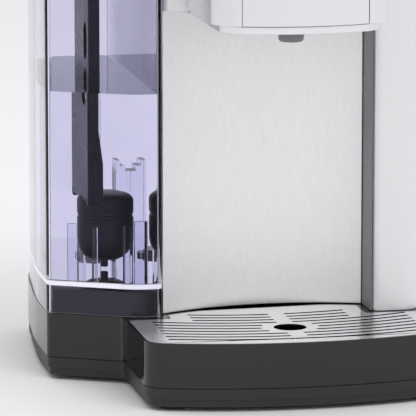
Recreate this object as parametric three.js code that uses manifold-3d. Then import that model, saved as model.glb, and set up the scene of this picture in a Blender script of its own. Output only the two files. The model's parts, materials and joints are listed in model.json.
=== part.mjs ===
// Countertop water dispenser: a drip tray and cup bay under a dispensing head, a clear water tank with a
// filter on the left, and the pump, heater and electronics in the body behind the bay.
// Millimetres. X to the right, Y to the back, Z up. While it is built, X = 0 and Y = 0 are the axis of the
// dispensing nozzle and Z = 0 is the worktop; the exported group is then centred on its own footprint.
import * as THREE from "three";
import { mergeVertices } from "three/addons/utils/BufferGeometryUtils.js";
import Module from "manifold-3d";

const wasm = await Module();
wasm.setup();

// ---- Driving dimensions ----

const CLEARANCE = 0.3; // between pieces that touch
const SLIDE_CLEARANCE = 0.5; // round a piece that lifts or slides out
const WALL = 2.4; // moulded housing walls

const FOOT_HEIGHT = 3;
const FOOT_RADIUS = 9.5;
const FOOT_RECESS = 1.2; // how deep a foot sits in the base pan
const PAN_HEIGHT = 11.5; // base pan, from its underside to the seam with the base shell
const PAN_STEP_HEIGHT = 5; // the undercut band round the bottom of the pan
const PAN_STEP = 1.8;
const SEAM = 0.5;
const DECK_HEIGHT = 43; // top face of the base, and of the drip plate in it

const BASE_HALF_WIDTH = 97; // tray part of the base, each side of the nozzle axis
const BASE_FRONT_Y = -48.2;
const BASE_FRONT_RADIUS = 286.7;
const BASE_CORNER_RADIUS = 15;
const BACK_Y = 244;
const BASE_REAR_RADIUS = 20;

const BAY_LEFT_X = -70.4; // left face of the body, where the steel panel starts
const BAY_RIGHT_X = 61;
const BAY_CENTRE_X = 4; // centre of the hollow curve of the steel panel
const BAY_RADIUS = 153.5;
const BAY_DEPTH_Y = 74.4; // deepest point of the steel panel
const PANEL_THICKNESS = 1;
const BAY_HEIGHT = 190.4; // from the deck to the underside of the head

const COLUMN_FRONT_Y = 38.5;
const COLUMN_INSET = 1; // of the column's right face from the side of the base
const COLUMN_EDGE_RADIUS = 5;
const COLUMN_CORNER_RADIUS = 14;
const TRIM_THICKNESS = 1.2;
const TRIM_SETBACK = 2;

const HOUSING_FRONT_Y = 50; // upper housing, left of the head
const REAR_COVER_THICKNESS = 2.7;

const REAR_COVER_MARGIN = 2; // body that shows round the rear cover
const BACK_FLANGE = 10; // strip of a housing that stays round its open back
const PASSAGE_MARGIN = 12; // strip round the opening between the upper housing and the head

const COLLAR_HEIGHT = 4.7;
const COLLAR_BAND = 3;
const COLLAR_HALF_WIDTH = 51;
const COLLAR_FRONT_Y = -47;
const CEILING_RISE = 3.7; // ceiling of the bay above the underside of the collar
const HEAD_HALF_WIDTH = 56;
const HEAD_FRONT_Y = -49.5;
const HEAD_FRONT_RADIUS = 115;
const HEAD_CORNER_RADIUS = 20;
const HEAD_HEIGHT = 77.6;
const FRONT_PANEL_HALF_WIDTH = 39.5;
const FRONT_PANEL_TOP_BAND = 4; // strip of the head shell above the front panel
const TOP_COVER_HEIGHT = 10.7;
const TOP_EDGE_RADIUS = 4;

const NOZZLE_RADIUS = 8;
const NOZZLE_DROP = 10.3; // tip of the nozzle below the collar
const NOZZLE_TIP_RADIUS = 3.5;
const NOZZLE_BORE_RADIUS = 2.5;
const NOZZLE_FLANGE = 2.4;
const NOZZLE_BARB_RADIUS = 3.6;
const NOZZLE_BARB_HEIGHT = 12;

const PLATE_MARGIN = 1.6; // from the side and the front of the base to the plate
const PLATE_THICKNESS = 1.4;
const PLATE_GAP = 4.2; // from the plate's rear edge to the panel, the column and the tank
const PLATE_HOLE_RADIUS = 10.3;
const SLOT_CENTRE_Y = 238; // centre of the slot arcs
const SLOT_FIRST_Y = 42.3;
const SLOT_PITCH = 8.55;
const SLOT_WIDTH = 3;
const SLOT_ROWS = 10;
const SLOT_LONG_REACH = 82;
const SLOT_SHORT_REACH_LEFT = 56;
const SLOT_SHORT_REACH_RIGHT = 45;
const SLOT_SHORT_ROWS = 3; // the rows inside the bay
const SLOT_HOLE_ROWS = [4, 5, 6]; // the rows that stop short of the round hole
const SLOT_HOLE_MARGIN = 5.5;
const SLOT_CENTRE_MARGIN = 4.8; // from the middle line to the inner end of each slot

const TRAY_RISE = 1.8; // underside of the tray above the top of the base pan
const TRAY_WALL = 1.8;
const TRAY_FLANGE = 1;
const TRAY_LEDGE = 2.2; // width of the ledge that the tray's flange hangs on

const TANK_GAP = 1.8; // between the tank and the body
const TANK_WIDTH = 69.5;
const TANK_FRONT_Y = 45.8; // at its right-hand end
const TANK_FRONT_RAKE = 27.7; // how far the front's left end lies further back
const TANK_BACK_SETBACK = 8; // from the back of the machine to the back of the tank
const TANK_TAPER = 18; // how far the tank's left side has come in at its back
const TANK_TAPER_LENGTH = 118;
const TANK_KNEE = 7; // the same at a place partway, TANK_KNEE_LENGTH from the back
const TANK_KNEE_LENGTH = 44;
const TANK_FLAT_FRONT = 17.8; // the part of the front that is square to the machine
const TANK_BASE_GAP = 0.5;
const TANK_WALL = 2.5;
const TANK_FLOOR_THICKNESS = 3.5;
const TANK_TOP_DROP = 20; // top of the tank below the top of the body
const PLINTH_GAP = 2; // between the base's plinth and the tank floor over it
const PLINTH_CLEARANCE = 1.2; // between the plinth's sides and the tank's skirt
const SKIRT_HEIGHT = 17.5; // from the tank's bottom edge to the underside of its floor
const LID_THICKNESS = 5;
const LID_LIP = 5;
const LID_LIP_THICKNESS = 1.6;
const LID_INSET = 0.4;
const LID_EDGE_RADIUS = 1.5;
const LID_GRIP_WIDTH = 36;
const LID_GRIP_THICKNESS = 6;
const LID_GRIP_HEIGHT = 5;
const LID_GRIP_SETBACK = 34;
const HINGE_RADIUS = 3.3;
const PIN_RADIUS = 1.5;

const FILTER_FROM_BODY = 24.8; // filter's axis from the tank's right-hand side
const FILTER_Y = 108;
const FILTER_RADIUS = 17.6;
const FILTER_BOTTOM_RISE = 6.8; // filter bowl above the tank floor
const FILTER_HEIGHT = 44;
const FILTER_WALL = 1.6;
const BOWL_HEIGHT = 31;
const SPOUT_LENGTH = 5;
const SPOUT_RADIUS = 2.4;
const SPOUT_BORE_RADIUS = 1.4;
const CRADLE_FIN_HEIGHT = 30.5;
const CRADLE_FIN_THICKNESS = 2.2;
const CRADLE_FIN_REACH = 6;
const CRADLE_FINS = 6;
const CRADLE_GAP = 0.8; // between the filter and the fins round it
const CRADLE_TURN = -118; // degrees, of the first fin
const TOWER_HEIGHT = 66; // clear ribs behind the filter
const TOWER_STEP = 3.5; // drop from each rib to the next
const TOWER_PITCH = 2.6;
const TOWER_LENGTH = 12;
const RAIL_WIDTH = 7.4;
const RAIL_DEPTH = 5.5;
const RAIL_OFFSET = 15.4; // left side of the rails from the filter's axis
const RAIL_FRONT_Y = 84.5;
const RAIL_BACK_Y = 137;
const WEB_THICKNESS = 2.2; // the wall between the rails
const WEB_SLOT_RADIUS = 6;
const WEB_SLOT_LEVELS = [[123, 100], [94, 70]]; // bottom and top of each slot below the top of the tank

const VALVE_FROM_BODY = 21.8;
const VALVE_Y = 160;
const VALVE_RADIUS = 9;
const VALVE_FLANGE_RADIUS = 12;
const VALVE_CHAMBER_RADIUS = 6.5;
const VALVE_PORT_RADIUS = 3;
const SEAL_RADIUS = 5.4;
const SEAL_BORE_RADIUS = 2.4;
const STEM_RADIUS = 2; // of the plunger below its disc
const GUIDE_RADIUS = 1.5; // of the plunger above its disc
const SPRING_RADIUS = 4;
const SPRING_TURNS = 3;
const SPRING_WIRE_RADIUS = 0.5;
const SOCKET_CLEARANCE = 1.6; // between the valve and the wall of its socket
const SOCKET_WALL = 2.4;
const SPIGOT_RADIUS = 3.2;
const SPIGOT_BORE_RADIUS = 1.8;

const BUTTON_RADIUS = 6;
const BUTTON_PITCH = 18;
const BUTTON_COUNT = 4;
const BUTTON_ROW_Y = -12;
const BUTTON_TRAVEL = 1.2;

const BOILER_X = 12;
const BOILER_RADIUS = 40;
const BOILER_HEIGHT = 105;
const PUMP_WIDTH = 36;
const PUMP_HEIGHT = 70;
const PUMP_HEAD_HEIGHT = 20;
const PUMP_MOTOR_RADIUS = 14;
const PUMP_PORT_RADIUS = 3;
const PUMP_PORT_LENGTH = 8;
const PUMP_FROM_SIDE = 32.4; // pump's axis from the body's left face
const PUMP_FROM_BACK = 36;
const HOSE_RADIUS = 4;

const SCREW_HEAD_RADIUS = 3.4;
const SCREW_HEAD_HEIGHT = 2.2;
const SCREW_SHANK_RADIUS = 1.6;

const INLET_X = 14;
const INLET_Z = 70;
const INLET_WIDTH = 27;
const INLET_HEIGHT = 20;
const INLET_DEPTH = 22;
const INLET_FLANGE = 1.6;
const INLET_RIM = 2.2;
const PIN_LENGTH = 14;
const PIN_TAIL = 4; // what stands out behind the inlet, inside the machine
const PIN_WIDTH = 2;
const PIN_HEIGHT = 4;
const SWITCH_X = 14;
const SWITCH_Z = 104;
const SWITCH_WIDTH = 28;
const SWITCH_HEIGHT = 14;
const ROCKER_TILT = THREE.MathUtils.degToRad(7);
const ROCKER_WIDTH = 10;
const ROCKER_LENGTH = 20;
const VENT_SLOTS = 7;
const VENT_PITCH = 8;
const VENT_LENGTH = 46;
const VENT_HEIGHT = 3;
const VENT_X = 0;
const VENT_Z = 200;

// ---- Levels and places worked out from them ----

const PAN_BOTTOM = FOOT_HEIGHT;
const PAN_TOP = PAN_BOTTOM + PAN_HEIGHT;
const SHELL_BOTTOM = PAN_TOP + SEAM;
const BODY_BOTTOM = DECK_HEIGHT + CLEARANCE;
const COLLAR_BOTTOM = DECK_HEIGHT + BAY_HEIGHT;
const COLLAR_TOP = COLLAR_BOTTOM + COLLAR_HEIGHT;
const CEILING = COLLAR_BOTTOM + CEILING_RISE;
const HEAD_BOTTOM = COLLAR_TOP + CLEARANCE;
const HEAD_TOP = HEAD_BOTTOM + HEAD_HEIGHT;
const COVER_BOTTOM = HEAD_TOP + CLEARANCE;
const COVER_TOP = COVER_BOTTOM + TOP_COVER_HEIGHT;
const SKIN_BOTTOM = COVER_TOP - WALL;

const BAY_CENTRE_Y = BAY_DEPTH_Y - BAY_RADIUS;
const COLUMN_RIGHT_X = BASE_HALF_WIDTH - COLUMN_INSET;
const TRIM_RIGHT_X = BAY_RIGHT_X + TRIM_THICKNESS;
const COLUMN_LEFT_X = TRIM_RIGHT_X + CLEARANCE;
const HOUSING_BACK_Y = BACK_Y - REAR_COVER_THICKNESS - CLEARANCE;

const TANK_RIGHT_X = BAY_LEFT_X - TANK_GAP;
const TANK_LEFT_X = TANK_RIGHT_X - TANK_WIDTH;
const TANK_BACK_Y = BACK_Y - TANK_BACK_SETBACK;
const TANK_BOTTOM = DECK_HEIGHT + TANK_BASE_GAP;
const TANK_FLOOR_BOTTOM = TANK_BOTTOM + SKIRT_HEIGHT;
const TANK_FLOOR = TANK_FLOOR_BOTTOM + TANK_FLOOR_THICKNESS;
const TANK_TOP = HEAD_TOP - TANK_TOP_DROP;
const PLINTH_TOP = TANK_FLOOR_BOTTOM - PLINTH_GAP;
const LID_BOTTOM = TANK_TOP + CLEARANCE;
const LID_TOP = LID_BOTTOM + LID_THICKNESS;
const HINGE_Y = TANK_BACK_Y + HINGE_RADIUS + CLEARANCE;
const HINGE_Z = TANK_TOP + HINGE_RADIUS - CLEARANCE;

const FILTER_X = TANK_RIGHT_X - FILTER_FROM_BODY;
const FILTER_BOTTOM = TANK_FLOOR + FILTER_BOTTOM_RISE;
const FILTER_TOP = FILTER_BOTTOM + FILTER_HEIGHT;
const RAIL_LEFT_X = FILTER_X - RAIL_OFFSET;
const RAIL_RIGHT_X = RAIL_LEFT_X + RAIL_WIDTH;
const VALVE_X = TANK_RIGHT_X - VALVE_FROM_BODY;

const INLET_FRONT = BACK_Y - INLET_DEPTH;
const PUMP_X = BAY_LEFT_X + PUMP_FROM_SIDE;
const PUMP_Y = HOUSING_BACK_Y - PUMP_FROM_BACK;
const BOILER_Y = (BAY_DEPTH_Y + PANEL_THICKNESS + CLEARANCE + WALL + INLET_FRONT - PIN_TAIL) / 2;

// ---- Materials ----

const finish = (color, roughness, metalness, extra = {}) =>
  new THREE.MeshStandardMaterial({ color, roughness, metalness, ...extra });
const silver = () => finish(0xdcdce0, 0.35, 0.3);
const steel = () => finish(0xc4c4c6, 0.3, 1);
const chrome = () => finish(0xe6e6e8, 0.12, 1);
const blackGloss = () => finish(0x141416, 0.18, 0);
const blackMatt = () => finish(0x1a1a1c, 0.6, 0);
const greyPlastic = () => finish(0x6c6c72, 0.45, 0);
const navyPlastic = () => finish(0x10121c, 0.4, 0);
const clearPlastic = () => finish(0xd6d4e6, 0.08, 0, { transparent: true, opacity: 0.35 });
const whitePlastic = () => finish(0xe8e8ea, 0.5, 0);
const rubber = () => finish(0x202022, 0.85, 0);
const silicone = () => finish(0xd8d8d4, 0.6, 0);
const greenBoard = () => finish(0x1e5a36, 0.5, 0);
const brass = () => finish(0xc8a860, 0.3, 1);

// ---- Shapes ----

const ARC_STEP = THREE.MathUtils.degToRad(22.5);
const SHARPEST = 0.2; // smallest radius that a round corner keeps when its outline moves in
const ROUND_SIDES = 20;
const SMALL_SIDES = 10;
const FAR = 500; // past every side of the object

const corner = (x, y, radius = 0) => ({ x, y, radius });

function direction(from, to) {
  return new THREE.Vector2(to.x - from.x, to.y - from.y).normalize();
}

// A closed outline moved inwards by d, or outwards when d is negative, with its round corners concentric.
function inset(corners, d) {
  return corners.map((c, i) => {
    const a = direction(corners.at(i - 1), c);
    const b = direction(c, corners[(i + 1) % corners.length]);
    const k = d / (1 + a.dot(b));
    const radius = c.radius + (a.cross(b) > 0 ? -d : d);
    return corner(c.x - (a.y + b.y) * k, c.y + (a.x + b.x) * k, c.radius ? Math.max(radius, SHARPEST) : 0);
  });
}

// The points of an outline of counter-clockwise corners, with each round corner as an arc.
function outlinePoints(corners) {
  return corners.flatMap((c, i) => {
    if (!c.radius) return [new THREE.Vector2(c.x, c.y)];
    const a = direction(corners.at(i - 1), c);
    const b = direction(c, corners[(i + 1) % corners.length]);
    const turn = Math.atan2(a.cross(b), a.dot(b));
    const reach = c.radius * Math.tan(Math.abs(turn) / 2);
    const start = new THREE.Vector2(c.x - a.x * reach, c.y - a.y * reach);
    const side = Math.sign(turn) * c.radius;
    const centre = new THREE.Vector2(start.x - a.y * side, start.y + a.x * side);
    const steps = Math.max(1, Math.ceil(Math.abs(turn) / ARC_STEP));
    return Array.from({ length: steps + 1 }, (_, k) =>
      start.clone().rotateAround(centre, (turn * k) / steps),
    );
  });
}

function rectangle(x0, y0, x1, y1, radius = 0) {
  return [corner(x0, y0, radius), corner(x1, y0, radius), corner(x1, y1, radius), corner(x0, y1, radius)];
}

// Corners along a circle about (centreX, centreY), on its front side (-1) or its back side (1).
function arcCorners(centreX, centreY, radius, side, fromX, toX, count, endRadius = 0) {
  return Array.from({ length: count + 1 }, (_, i) => {
    const x = fromX + ((toX - fromX) * i) / count;
    const y = centreY + side * Math.sqrt(radius ** 2 - (x - centreX) ** 2);
    return corner(x, y, i === 0 || i === count ? endRadius : 0);
  });
}

function solid(geometry) {
  const bare = geometry.clone().deleteAttribute("normal").deleteAttribute("uv");
  const merged = mergeVertices(bare, 1e-4);
  return new wasm.Manifold(
    new wasm.Mesh({
      numProp: 3,
      vertProperties: merged.attributes.position.array,
      triVerts: new Uint32Array(merged.index.array),
    }),
  );
}

function geometryOf(body) {
  const mesh = body.getMesh();
  return new THREE.BufferGeometry()
    .setAttribute("position", new THREE.BufferAttribute(mesh.vertProperties, 3))
    .setIndex(new THREE.BufferAttribute(mesh.triVerts, 1));
}

const join = (first, ...others) => others.reduce((whole, piece) => whole.add(piece), first);
const cut = (first, ...others) => others.reduce((whole, piece) => whole.subtract(piece), first);

function prism(corners, z0, z1) {
  const shape = new THREE.Shape(outlinePoints(corners));
  const geometry = new THREE.ExtrudeGeometry(shape, { depth: z1 - z0, bevelEnabled: false });
  return solid(geometry.translate(0, 0, z0));
}

// A prism whose top edge is rounded.
function roundTopPrism(corners, z0, z1, radius) {
  const shape = new THREE.Shape(outlinePoints(inset(corners, radius)));
  const geometry = new THREE.ExtrudeGeometry(shape, {
    depth: z1 - z0,
    bevelThickness: radius,
    bevelSize: radius,
    bevelSegments: 2,
  });
  const tall = solid(geometry.translate(0, 0, z0 - radius));
  return cut(tall, box(-FAR, -FAR, z0 - FAR, FAR, FAR, z0));
}

// A wall that follows an outline, thickness t inwards.
const ring = (corners, t, z0, z1) => cut(prism(corners, z0, z1), prism(inset(corners, t), z0 - 1, z1 + 1));

function box(x0, y0, z0, x1, y1, z1) {
  const geometry = new THREE.BoxGeometry(x1 - x0, y1 - y0, z1 - z0);
  return solid(geometry.translate((x0 + x1) / 2, (y0 + y1) / 2, (z0 + z1) / 2));
}

// A plate that stands upright across the machine: its outline is in X and Z, its thickness along Y.
function uprightPlate(corners, y0, y1) {
  const shape = new THREE.Shape(outlinePoints(corners));
  const geometry = new THREE.ExtrudeGeometry(shape, { depth: y1 - y0, bevelEnabled: false });
  return solid(geometry.rotateX(Math.PI / 2).translate(0, y1, 0));
}

// A turned piece about a vertical axis at (x, y). The profile is a list of [radius, height].
function turned(profile, x, y, sides = ROUND_SIDES) {
  const points = profile.map(([r, z]) => new THREE.Vector2(r, z));
  if (THREE.ShapeUtils.area(points) < 0) points.reverse();
  if (points[0].x > 0 || points.at(-1).x > 0) points.push(points[0].clone());
  const geometry = new THREE.LatheGeometry(points, sides);
  return solid(geometry.rotateX(Math.PI / 2).translate(x, y, 0));
}

const rod = (radius, x, y, z0, z1, sides = SMALL_SIDES) =>
  turned([[0, z0], [radius, z0], [radius, z1], [0, z1]], x, y, sides);

const tube = (inner, outer, x, y, z0, z1, sides = ROUND_SIDES) =>
  turned([[inner, z0], [outer, z0], [outer, z1], [inner, z1]], x, y, sides);

// The cutter for a hole round something of the radius, with a clearance.
const roundHole = (radius, x, y, z0, z1, sides = ROUND_SIDES) => rod(radius + CLEARANCE, x, y, z0, z1, sides);

// A rod along X or along Y, from one end to the other.
function rodAlongX(radius, x0, x1, y, z, sides = SMALL_SIDES) {
  const geometry = new THREE.CylinderGeometry(radius, radius, x1 - x0, sides);
  return solid(geometry.rotateZ(Math.PI / 2).translate((x0 + x1) / 2, y, z));
}

function rodAlongY(radius, x, y0, y1, z, sides = SMALL_SIDES) {
  const geometry = new THREE.CylinderGeometry(radius, radius, y1 - y0, sides);
  return solid(geometry.translate(x, (y0 + y1) / 2, z));
}

function hose(points, radius, steps) {
  const path = new THREE.CatmullRomCurve3(points.map(([x, y, z]) => new THREE.Vector3(x, y, z)));
  const section = new THREE.Shape().absarc(0, 0, radius, 0, 2 * Math.PI);
  return solid(new THREE.ExtrudeGeometry(section, { steps, curveSegments: 4, extrudePath: path }));
}

// ---- Outlines seen from above ----

const tankLeftSide = (backY) => [
  corner(TANK_LEFT_X + TANK_TAPER, backY, 20),
  corner(TANK_LEFT_X + TANK_KNEE, backY - TANK_KNEE_LENGTH, 90),
  corner(TANK_LEFT_X, backY - TANK_TAPER_LENGTH, 250),
  corner(TANK_LEFT_X, TANK_FRONT_Y + TANK_FRONT_RAKE, 6),
];
const TANK_FRONT_BEND_X = TANK_RIGHT_X - TANK_FLAT_FRONT; // where the raked front turns square
const tankOutline = [
  corner(TANK_FRONT_BEND_X, TANK_FRONT_Y, 30),
  corner(TANK_RIGHT_X, TANK_FRONT_Y, 4),
  corner(TANK_RIGHT_X, TANK_BACK_Y, 8),
  ...tankLeftSide(TANK_BACK_Y),
];

const rakeSlope = TANK_FRONT_RAKE / (TANK_LEFT_X - TANK_FRONT_BEND_X);
const BASE_SHOULDER_Y = TANK_FRONT_Y + rakeSlope * (-BASE_HALF_WIDTH - TANK_FRONT_BEND_X);
const baseOutline = [
  ...arcCorners(
    0, BASE_FRONT_Y + BASE_FRONT_RADIUS, BASE_FRONT_RADIUS, -1,
    -BASE_HALF_WIDTH, BASE_HALF_WIDTH, 12, BASE_CORNER_RADIUS,
  ),
  corner(BASE_HALF_WIDTH, BACK_Y, BASE_REAR_RADIUS),
  ...tankLeftSide(BACK_Y),
  corner(-BASE_HALF_WIDTH, BASE_SHOULDER_Y, 8),
];

const panelArc = (extra, fromX, toX, count = 14) =>
  arcCorners(BAY_CENTRE_X, BAY_CENTRE_Y, BAY_RADIUS + extra, 1, fromX, toX, count);
const bodyOutline = [
  ...panelArc(PANEL_THICKNESS + CLEARANCE, BAY_LEFT_X, BAY_RIGHT_X),
  corner(BAY_RIGHT_X, HOUSING_BACK_Y, 1),
  corner(BAY_LEFT_X, HOUSING_BACK_Y, 5),
];
const columnOutline = [
  corner(COLUMN_LEFT_X, COLUMN_FRONT_Y, COLUMN_EDGE_RADIUS),
  corner(COLUMN_RIGHT_X, COLUMN_FRONT_Y, COLUMN_CORNER_RADIUS),
  corner(COLUMN_RIGHT_X, HOUSING_BACK_Y, 5),
  corner(COLUMN_LEFT_X, HOUSING_BACK_Y, 1),
];
const housingOutline = [
  corner(BAY_LEFT_X, HOUSING_FRONT_Y, 4),
  corner(TRIM_RIGHT_X, HOUSING_FRONT_Y, 1),
  corner(TRIM_RIGHT_X, HOUSING_BACK_Y, 1),
  corner(BAY_LEFT_X, HOUSING_BACK_Y, 5),
];
const headFront = (halfWidth, frontY) =>
  arcCorners(
    0, frontY + HEAD_FRONT_RADIUS, HEAD_FRONT_RADIUS, -1,
    -halfWidth, halfWidth, 8, HEAD_CORNER_RADIUS,
  );
const headOutline = [
  ...headFront(HEAD_HALF_WIDTH, HEAD_FRONT_Y),
  corner(HEAD_HALF_WIDTH, HOUSING_FRONT_Y - CLEARANCE),
  corner(-HEAD_HALF_WIDTH, HOUSING_FRONT_Y - CLEARANCE),
];
const collarOutline = [
  ...headFront(COLLAR_HALF_WIDTH, COLLAR_FRONT_Y),
  ...panelArc(-CLEARANCE, COLLAR_HALF_WIDTH, -COLLAR_HALF_WIDTH, 10),
];
const coverOutline = [
  ...headFront(HEAD_HALF_WIDTH, HEAD_FRONT_Y),
  corner(HEAD_HALF_WIDTH, COLUMN_FRONT_Y, 3),
  corner(COLUMN_RIGHT_X, COLUMN_FRONT_Y, COLUMN_CORNER_RADIUS),
  corner(COLUMN_RIGHT_X, BACK_Y, 8),
  corner(BAY_LEFT_X, BACK_Y, 8),
  corner(BAY_LEFT_X, HOUSING_FRONT_Y, 4),
  corner(-HEAD_HALF_WIDTH, HOUSING_FRONT_Y, 3),
];

const PLATE_BACK_RIGHT_Y = COLUMN_FRONT_Y - PLATE_GAP;
const PLATE_BACK_LEFT_Y = TANK_FRONT_Y - PLATE_GAP - PLATE_MARGIN;
const PLATE_LEFT_X = BAY_LEFT_X + PLATE_GAP - PLATE_MARGIN; // of the part inside the bay
const PLATE_RIGHT_X = BAY_RIGHT_X - PLATE_GAP;
const PLATE_HALF_WIDTH = BASE_HALF_WIDTH - PLATE_MARGIN;
const plateOutline = [
  ...arcCorners(
    0, BASE_FRONT_Y + BASE_FRONT_RADIUS, BASE_FRONT_RADIUS - PLATE_MARGIN, -1,
    -PLATE_HALF_WIDTH, PLATE_HALF_WIDTH, 12, BASE_CORNER_RADIUS - PLATE_MARGIN,
  ),
  corner(PLATE_HALF_WIDTH, PLATE_BACK_RIGHT_Y, 3),
  corner(PLATE_RIGHT_X, PLATE_BACK_RIGHT_Y, 4),
  ...panelArc(-PLATE_GAP, PLATE_RIGHT_X, PLATE_LEFT_X, 12),
  corner(PLATE_LEFT_X, PLATE_BACK_LEFT_Y, 3),
  corner(-PLATE_HALF_WIDTH, PLATE_BACK_LEFT_Y, 3),
];

// ---- Base ----

const plinthOutline = inset(tankOutline, TANK_WALL + PLINTH_CLEARANCE);
const trayOutline = inset(plateOutline, TRAY_LEDGE + SLIDE_CLEARANCE);
const wellOutline = inset(plateOutline, TRAY_LEDGE);
const RECESS_DEPTH = PLATE_THICKNESS + TRAY_FLANGE + 2 * CLEARANCE;
const WINDOW_MARGIN = 12; // deck that stays round the opening up into the body
const serviceWindow = () =>
  prism(inset(bodyOutline, WINDOW_MARGIN), DECK_HEIGHT - WALL - 1, DECK_HEIGHT + 1);
const SOCKET_RADIUS = VALVE_RADIUS + SOCKET_CLEARANCE + SOCKET_WALL;

function baseShell() {
  const outer = prism(baseOutline, SHELL_BOTTOM, DECK_HEIGHT);
  const hollow = prism(inset(baseOutline, WALL), SHELL_BOTTOM - 1, DECK_HEIGHT - WALL);
  const wellWall = prism(inset(wellOutline, -WALL), SHELL_BOTTOM, DECK_HEIGHT);
  const plinth = prism(plinthOutline, DECK_HEIGHT - 1, PLINTH_TOP);
  const plinthHollow = prism(inset(plinthOutline, WALL), SHELL_BOTTOM, PLINTH_TOP - WALL);
  const recess = prism(inset(plateOutline, -SLIDE_CLEARANCE), DECK_HEIGHT - RECESS_DEPTH, DECK_HEIGHT + 1);
  const well = prism(wellOutline, SHELL_BOTTOM - 1, DECK_HEIGHT + 1);
  const socketHole = roundHole(SOCKET_RADIUS, VALVE_X, VALVE_Y, DECK_HEIGHT, PLINTH_TOP + 1);
  const walls = join(cut(outer, cut(hollow, wellWall)), plinth);
  return cut(walls, plinthHollow, recess, well, socketHole, serviceWindow());
}

const FRONT_FOOT_X = BASE_HALF_WIDTH - 19.5;
const FRONT_FOOT_Y = BASE_FRONT_Y + 28.7;
const FRONT_SCREW_X = BASE_HALF_WIDTH - 19;
const FRONT_SCREW_Y = BASE_FRONT_Y + 56.2;
const footPlaces = [
  [-FRONT_FOOT_X, FRONT_FOOT_Y], [FRONT_FOOT_X, FRONT_FOOT_Y],
  [TANK_LEFT_X + 33.7, BACK_Y - 18], [COLUMN_RIGHT_X - 20, BACK_Y - 22],
];
const panScrewPlaces = [
  [-FRONT_SCREW_X, FRONT_SCREW_Y], [FRONT_SCREW_X, FRONT_SCREW_Y],
  [TANK_LEFT_X + 37.7, BACK_Y - 38], [COLUMN_RIGHT_X - 46, BACK_Y - 18],
];

function basePan() {
  const band = prism(inset(baseOutline, PAN_STEP), PAN_BOTTOM, PAN_BOTTOM + PAN_STEP_HEIGHT + 0.5);
  const rim = prism(inset(baseOutline, 0.4), PAN_BOTTOM + PAN_STEP_HEIGHT, PAN_TOP);
  const inside = prism(inset(baseOutline, PAN_STEP + WALL), PAN_BOTTOM + WALL, PAN_TOP + 1);
  const footHoles = footPlaces.map(([x, y]) =>
    roundHole(FOOT_RADIUS, x, y, PAN_BOTTOM - 1, PAN_BOTTOM + FOOT_RECESS),
  );
  const screwHoles = panScrewPlaces.map(([x, y]) =>
    roundHole(SCREW_SHANK_RADIUS, x, y, 0, PAN_TOP, SMALL_SIDES),
  );
  return cut(join(band, rim), inside, ...footHoles, ...screwHoles);
}

function foot([x, y]) {
  const top = PAN_BOTTOM + FOOT_RECESS - CLEARANCE;
  return turned([[0, 0], [FOOT_RADIUS - 1, 0], [FOOT_RADIUS, 1], [FOOT_RADIUS, top], [0, top]], x, y);
}

// A pan-head screw whose head hangs below its seat; it points up.
function panScrew([x, y]) {
  const seat = PAN_BOTTOM - CLEARANCE;
  const bottom = seat - SCREW_HEAD_HEIGHT;
  const tip = PAN_BOTTOM + WALL + 5;
  const profile = [
    [0, bottom + 1], [1.2, bottom + 1], [1.2, bottom], [SCREW_HEAD_RADIUS - 0.8, bottom],
    [SCREW_HEAD_RADIUS, bottom + 0.8], [SCREW_HEAD_RADIUS, seat],
    [SCREW_SHANK_RADIUS, seat], [SCREW_SHANK_RADIUS, tip], [0, tip],
  ];
  return turned(profile, x, y, SMALL_SIDES);
}

function dripTray() {
  const flangeTop = DECK_HEIGHT - PLATE_THICKNESS - CLEARANCE;
  const bottom = PAN_TOP + TRAY_RISE;
  const flange = prism(inset(plateOutline, CLEARANCE), flangeTop - TRAY_FLANGE, flangeTop);
  const tub = prism(trayOutline, bottom, flangeTop);
  const inside = prism(inset(trayOutline, TRAY_WALL), bottom + TRAY_WALL, flangeTop + 1);
  return cut(join(flange, tub), inside);
}

// One slot of the drip plate: a band of the arc between two X places, with round ends.
function slot(y, fromX, toX) {
  const radius = SLOT_CENTRE_Y - y;
  const band = (r, x0, x1) => arcCorners(0, SLOT_CENTRE_Y, r, -1, x0, x1, 4);
  const half = SLOT_WIDTH / 2;
  const corners = [...band(radius + half, fromX, toX), ...band(radius - half, toX, fromX)];
  return prism(corners, DECK_HEIGHT - PLATE_THICKNESS - 1, DECK_HEIGHT + 1);
}

function dripPlate() {
  const slots = [];
  for (let row = 0; row < SLOT_ROWS; row++) {
    const y = SLOT_FIRST_Y - SLOT_PITCH * row;
    const inner = SLOT_HOLE_ROWS.includes(row)
      ? Math.sqrt(Math.max((PLATE_HOLE_RADIUS + SLOT_HOLE_MARGIN) ** 2 - y ** 2, 0)) + 2
      : SLOT_CENTRE_MARGIN;
    const short = row < SLOT_SHORT_ROWS;
    slots.push(slot(y, short ? -SLOT_SHORT_REACH_LEFT : -SLOT_LONG_REACH, -inner));
    slots.push(slot(y, inner, short ? SLOT_SHORT_REACH_RIGHT : SLOT_LONG_REACH));
  }
  const hole = rod(PLATE_HOLE_RADIUS, 0, 0, DECK_HEIGHT - PLATE_THICKNESS - 1, DECK_HEIGHT + 1, ROUND_SIDES);
  return cut(prism(plateOutline, DECK_HEIGHT - PLATE_THICKNESS, DECK_HEIGHT), hole, ...slots);
}

// ---- Body ----

const BODY_TOP = CEILING - CLEARANCE;

// A housing's back, opened so that the rear cover closes it.
const openBack = (x0, x1, z0, z1) =>
  box(
    x0 + BACK_FLANGE, HOUSING_BACK_Y - 2 * WALL, z0 + BACK_FLANGE,
    x1 - BACK_FLANGE, BACK_Y, z1 - BACK_FLANGE,
  );
const screwHolesInBack = (backY = BACK_Y) =>
  rearScrewPlaces.map(([x, z]) =>
    rodAlongY(SCREW_SHANK_RADIUS + CLEARANCE, x, HOUSING_BACK_Y - 2 * WALL, backY, z),
  );

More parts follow.
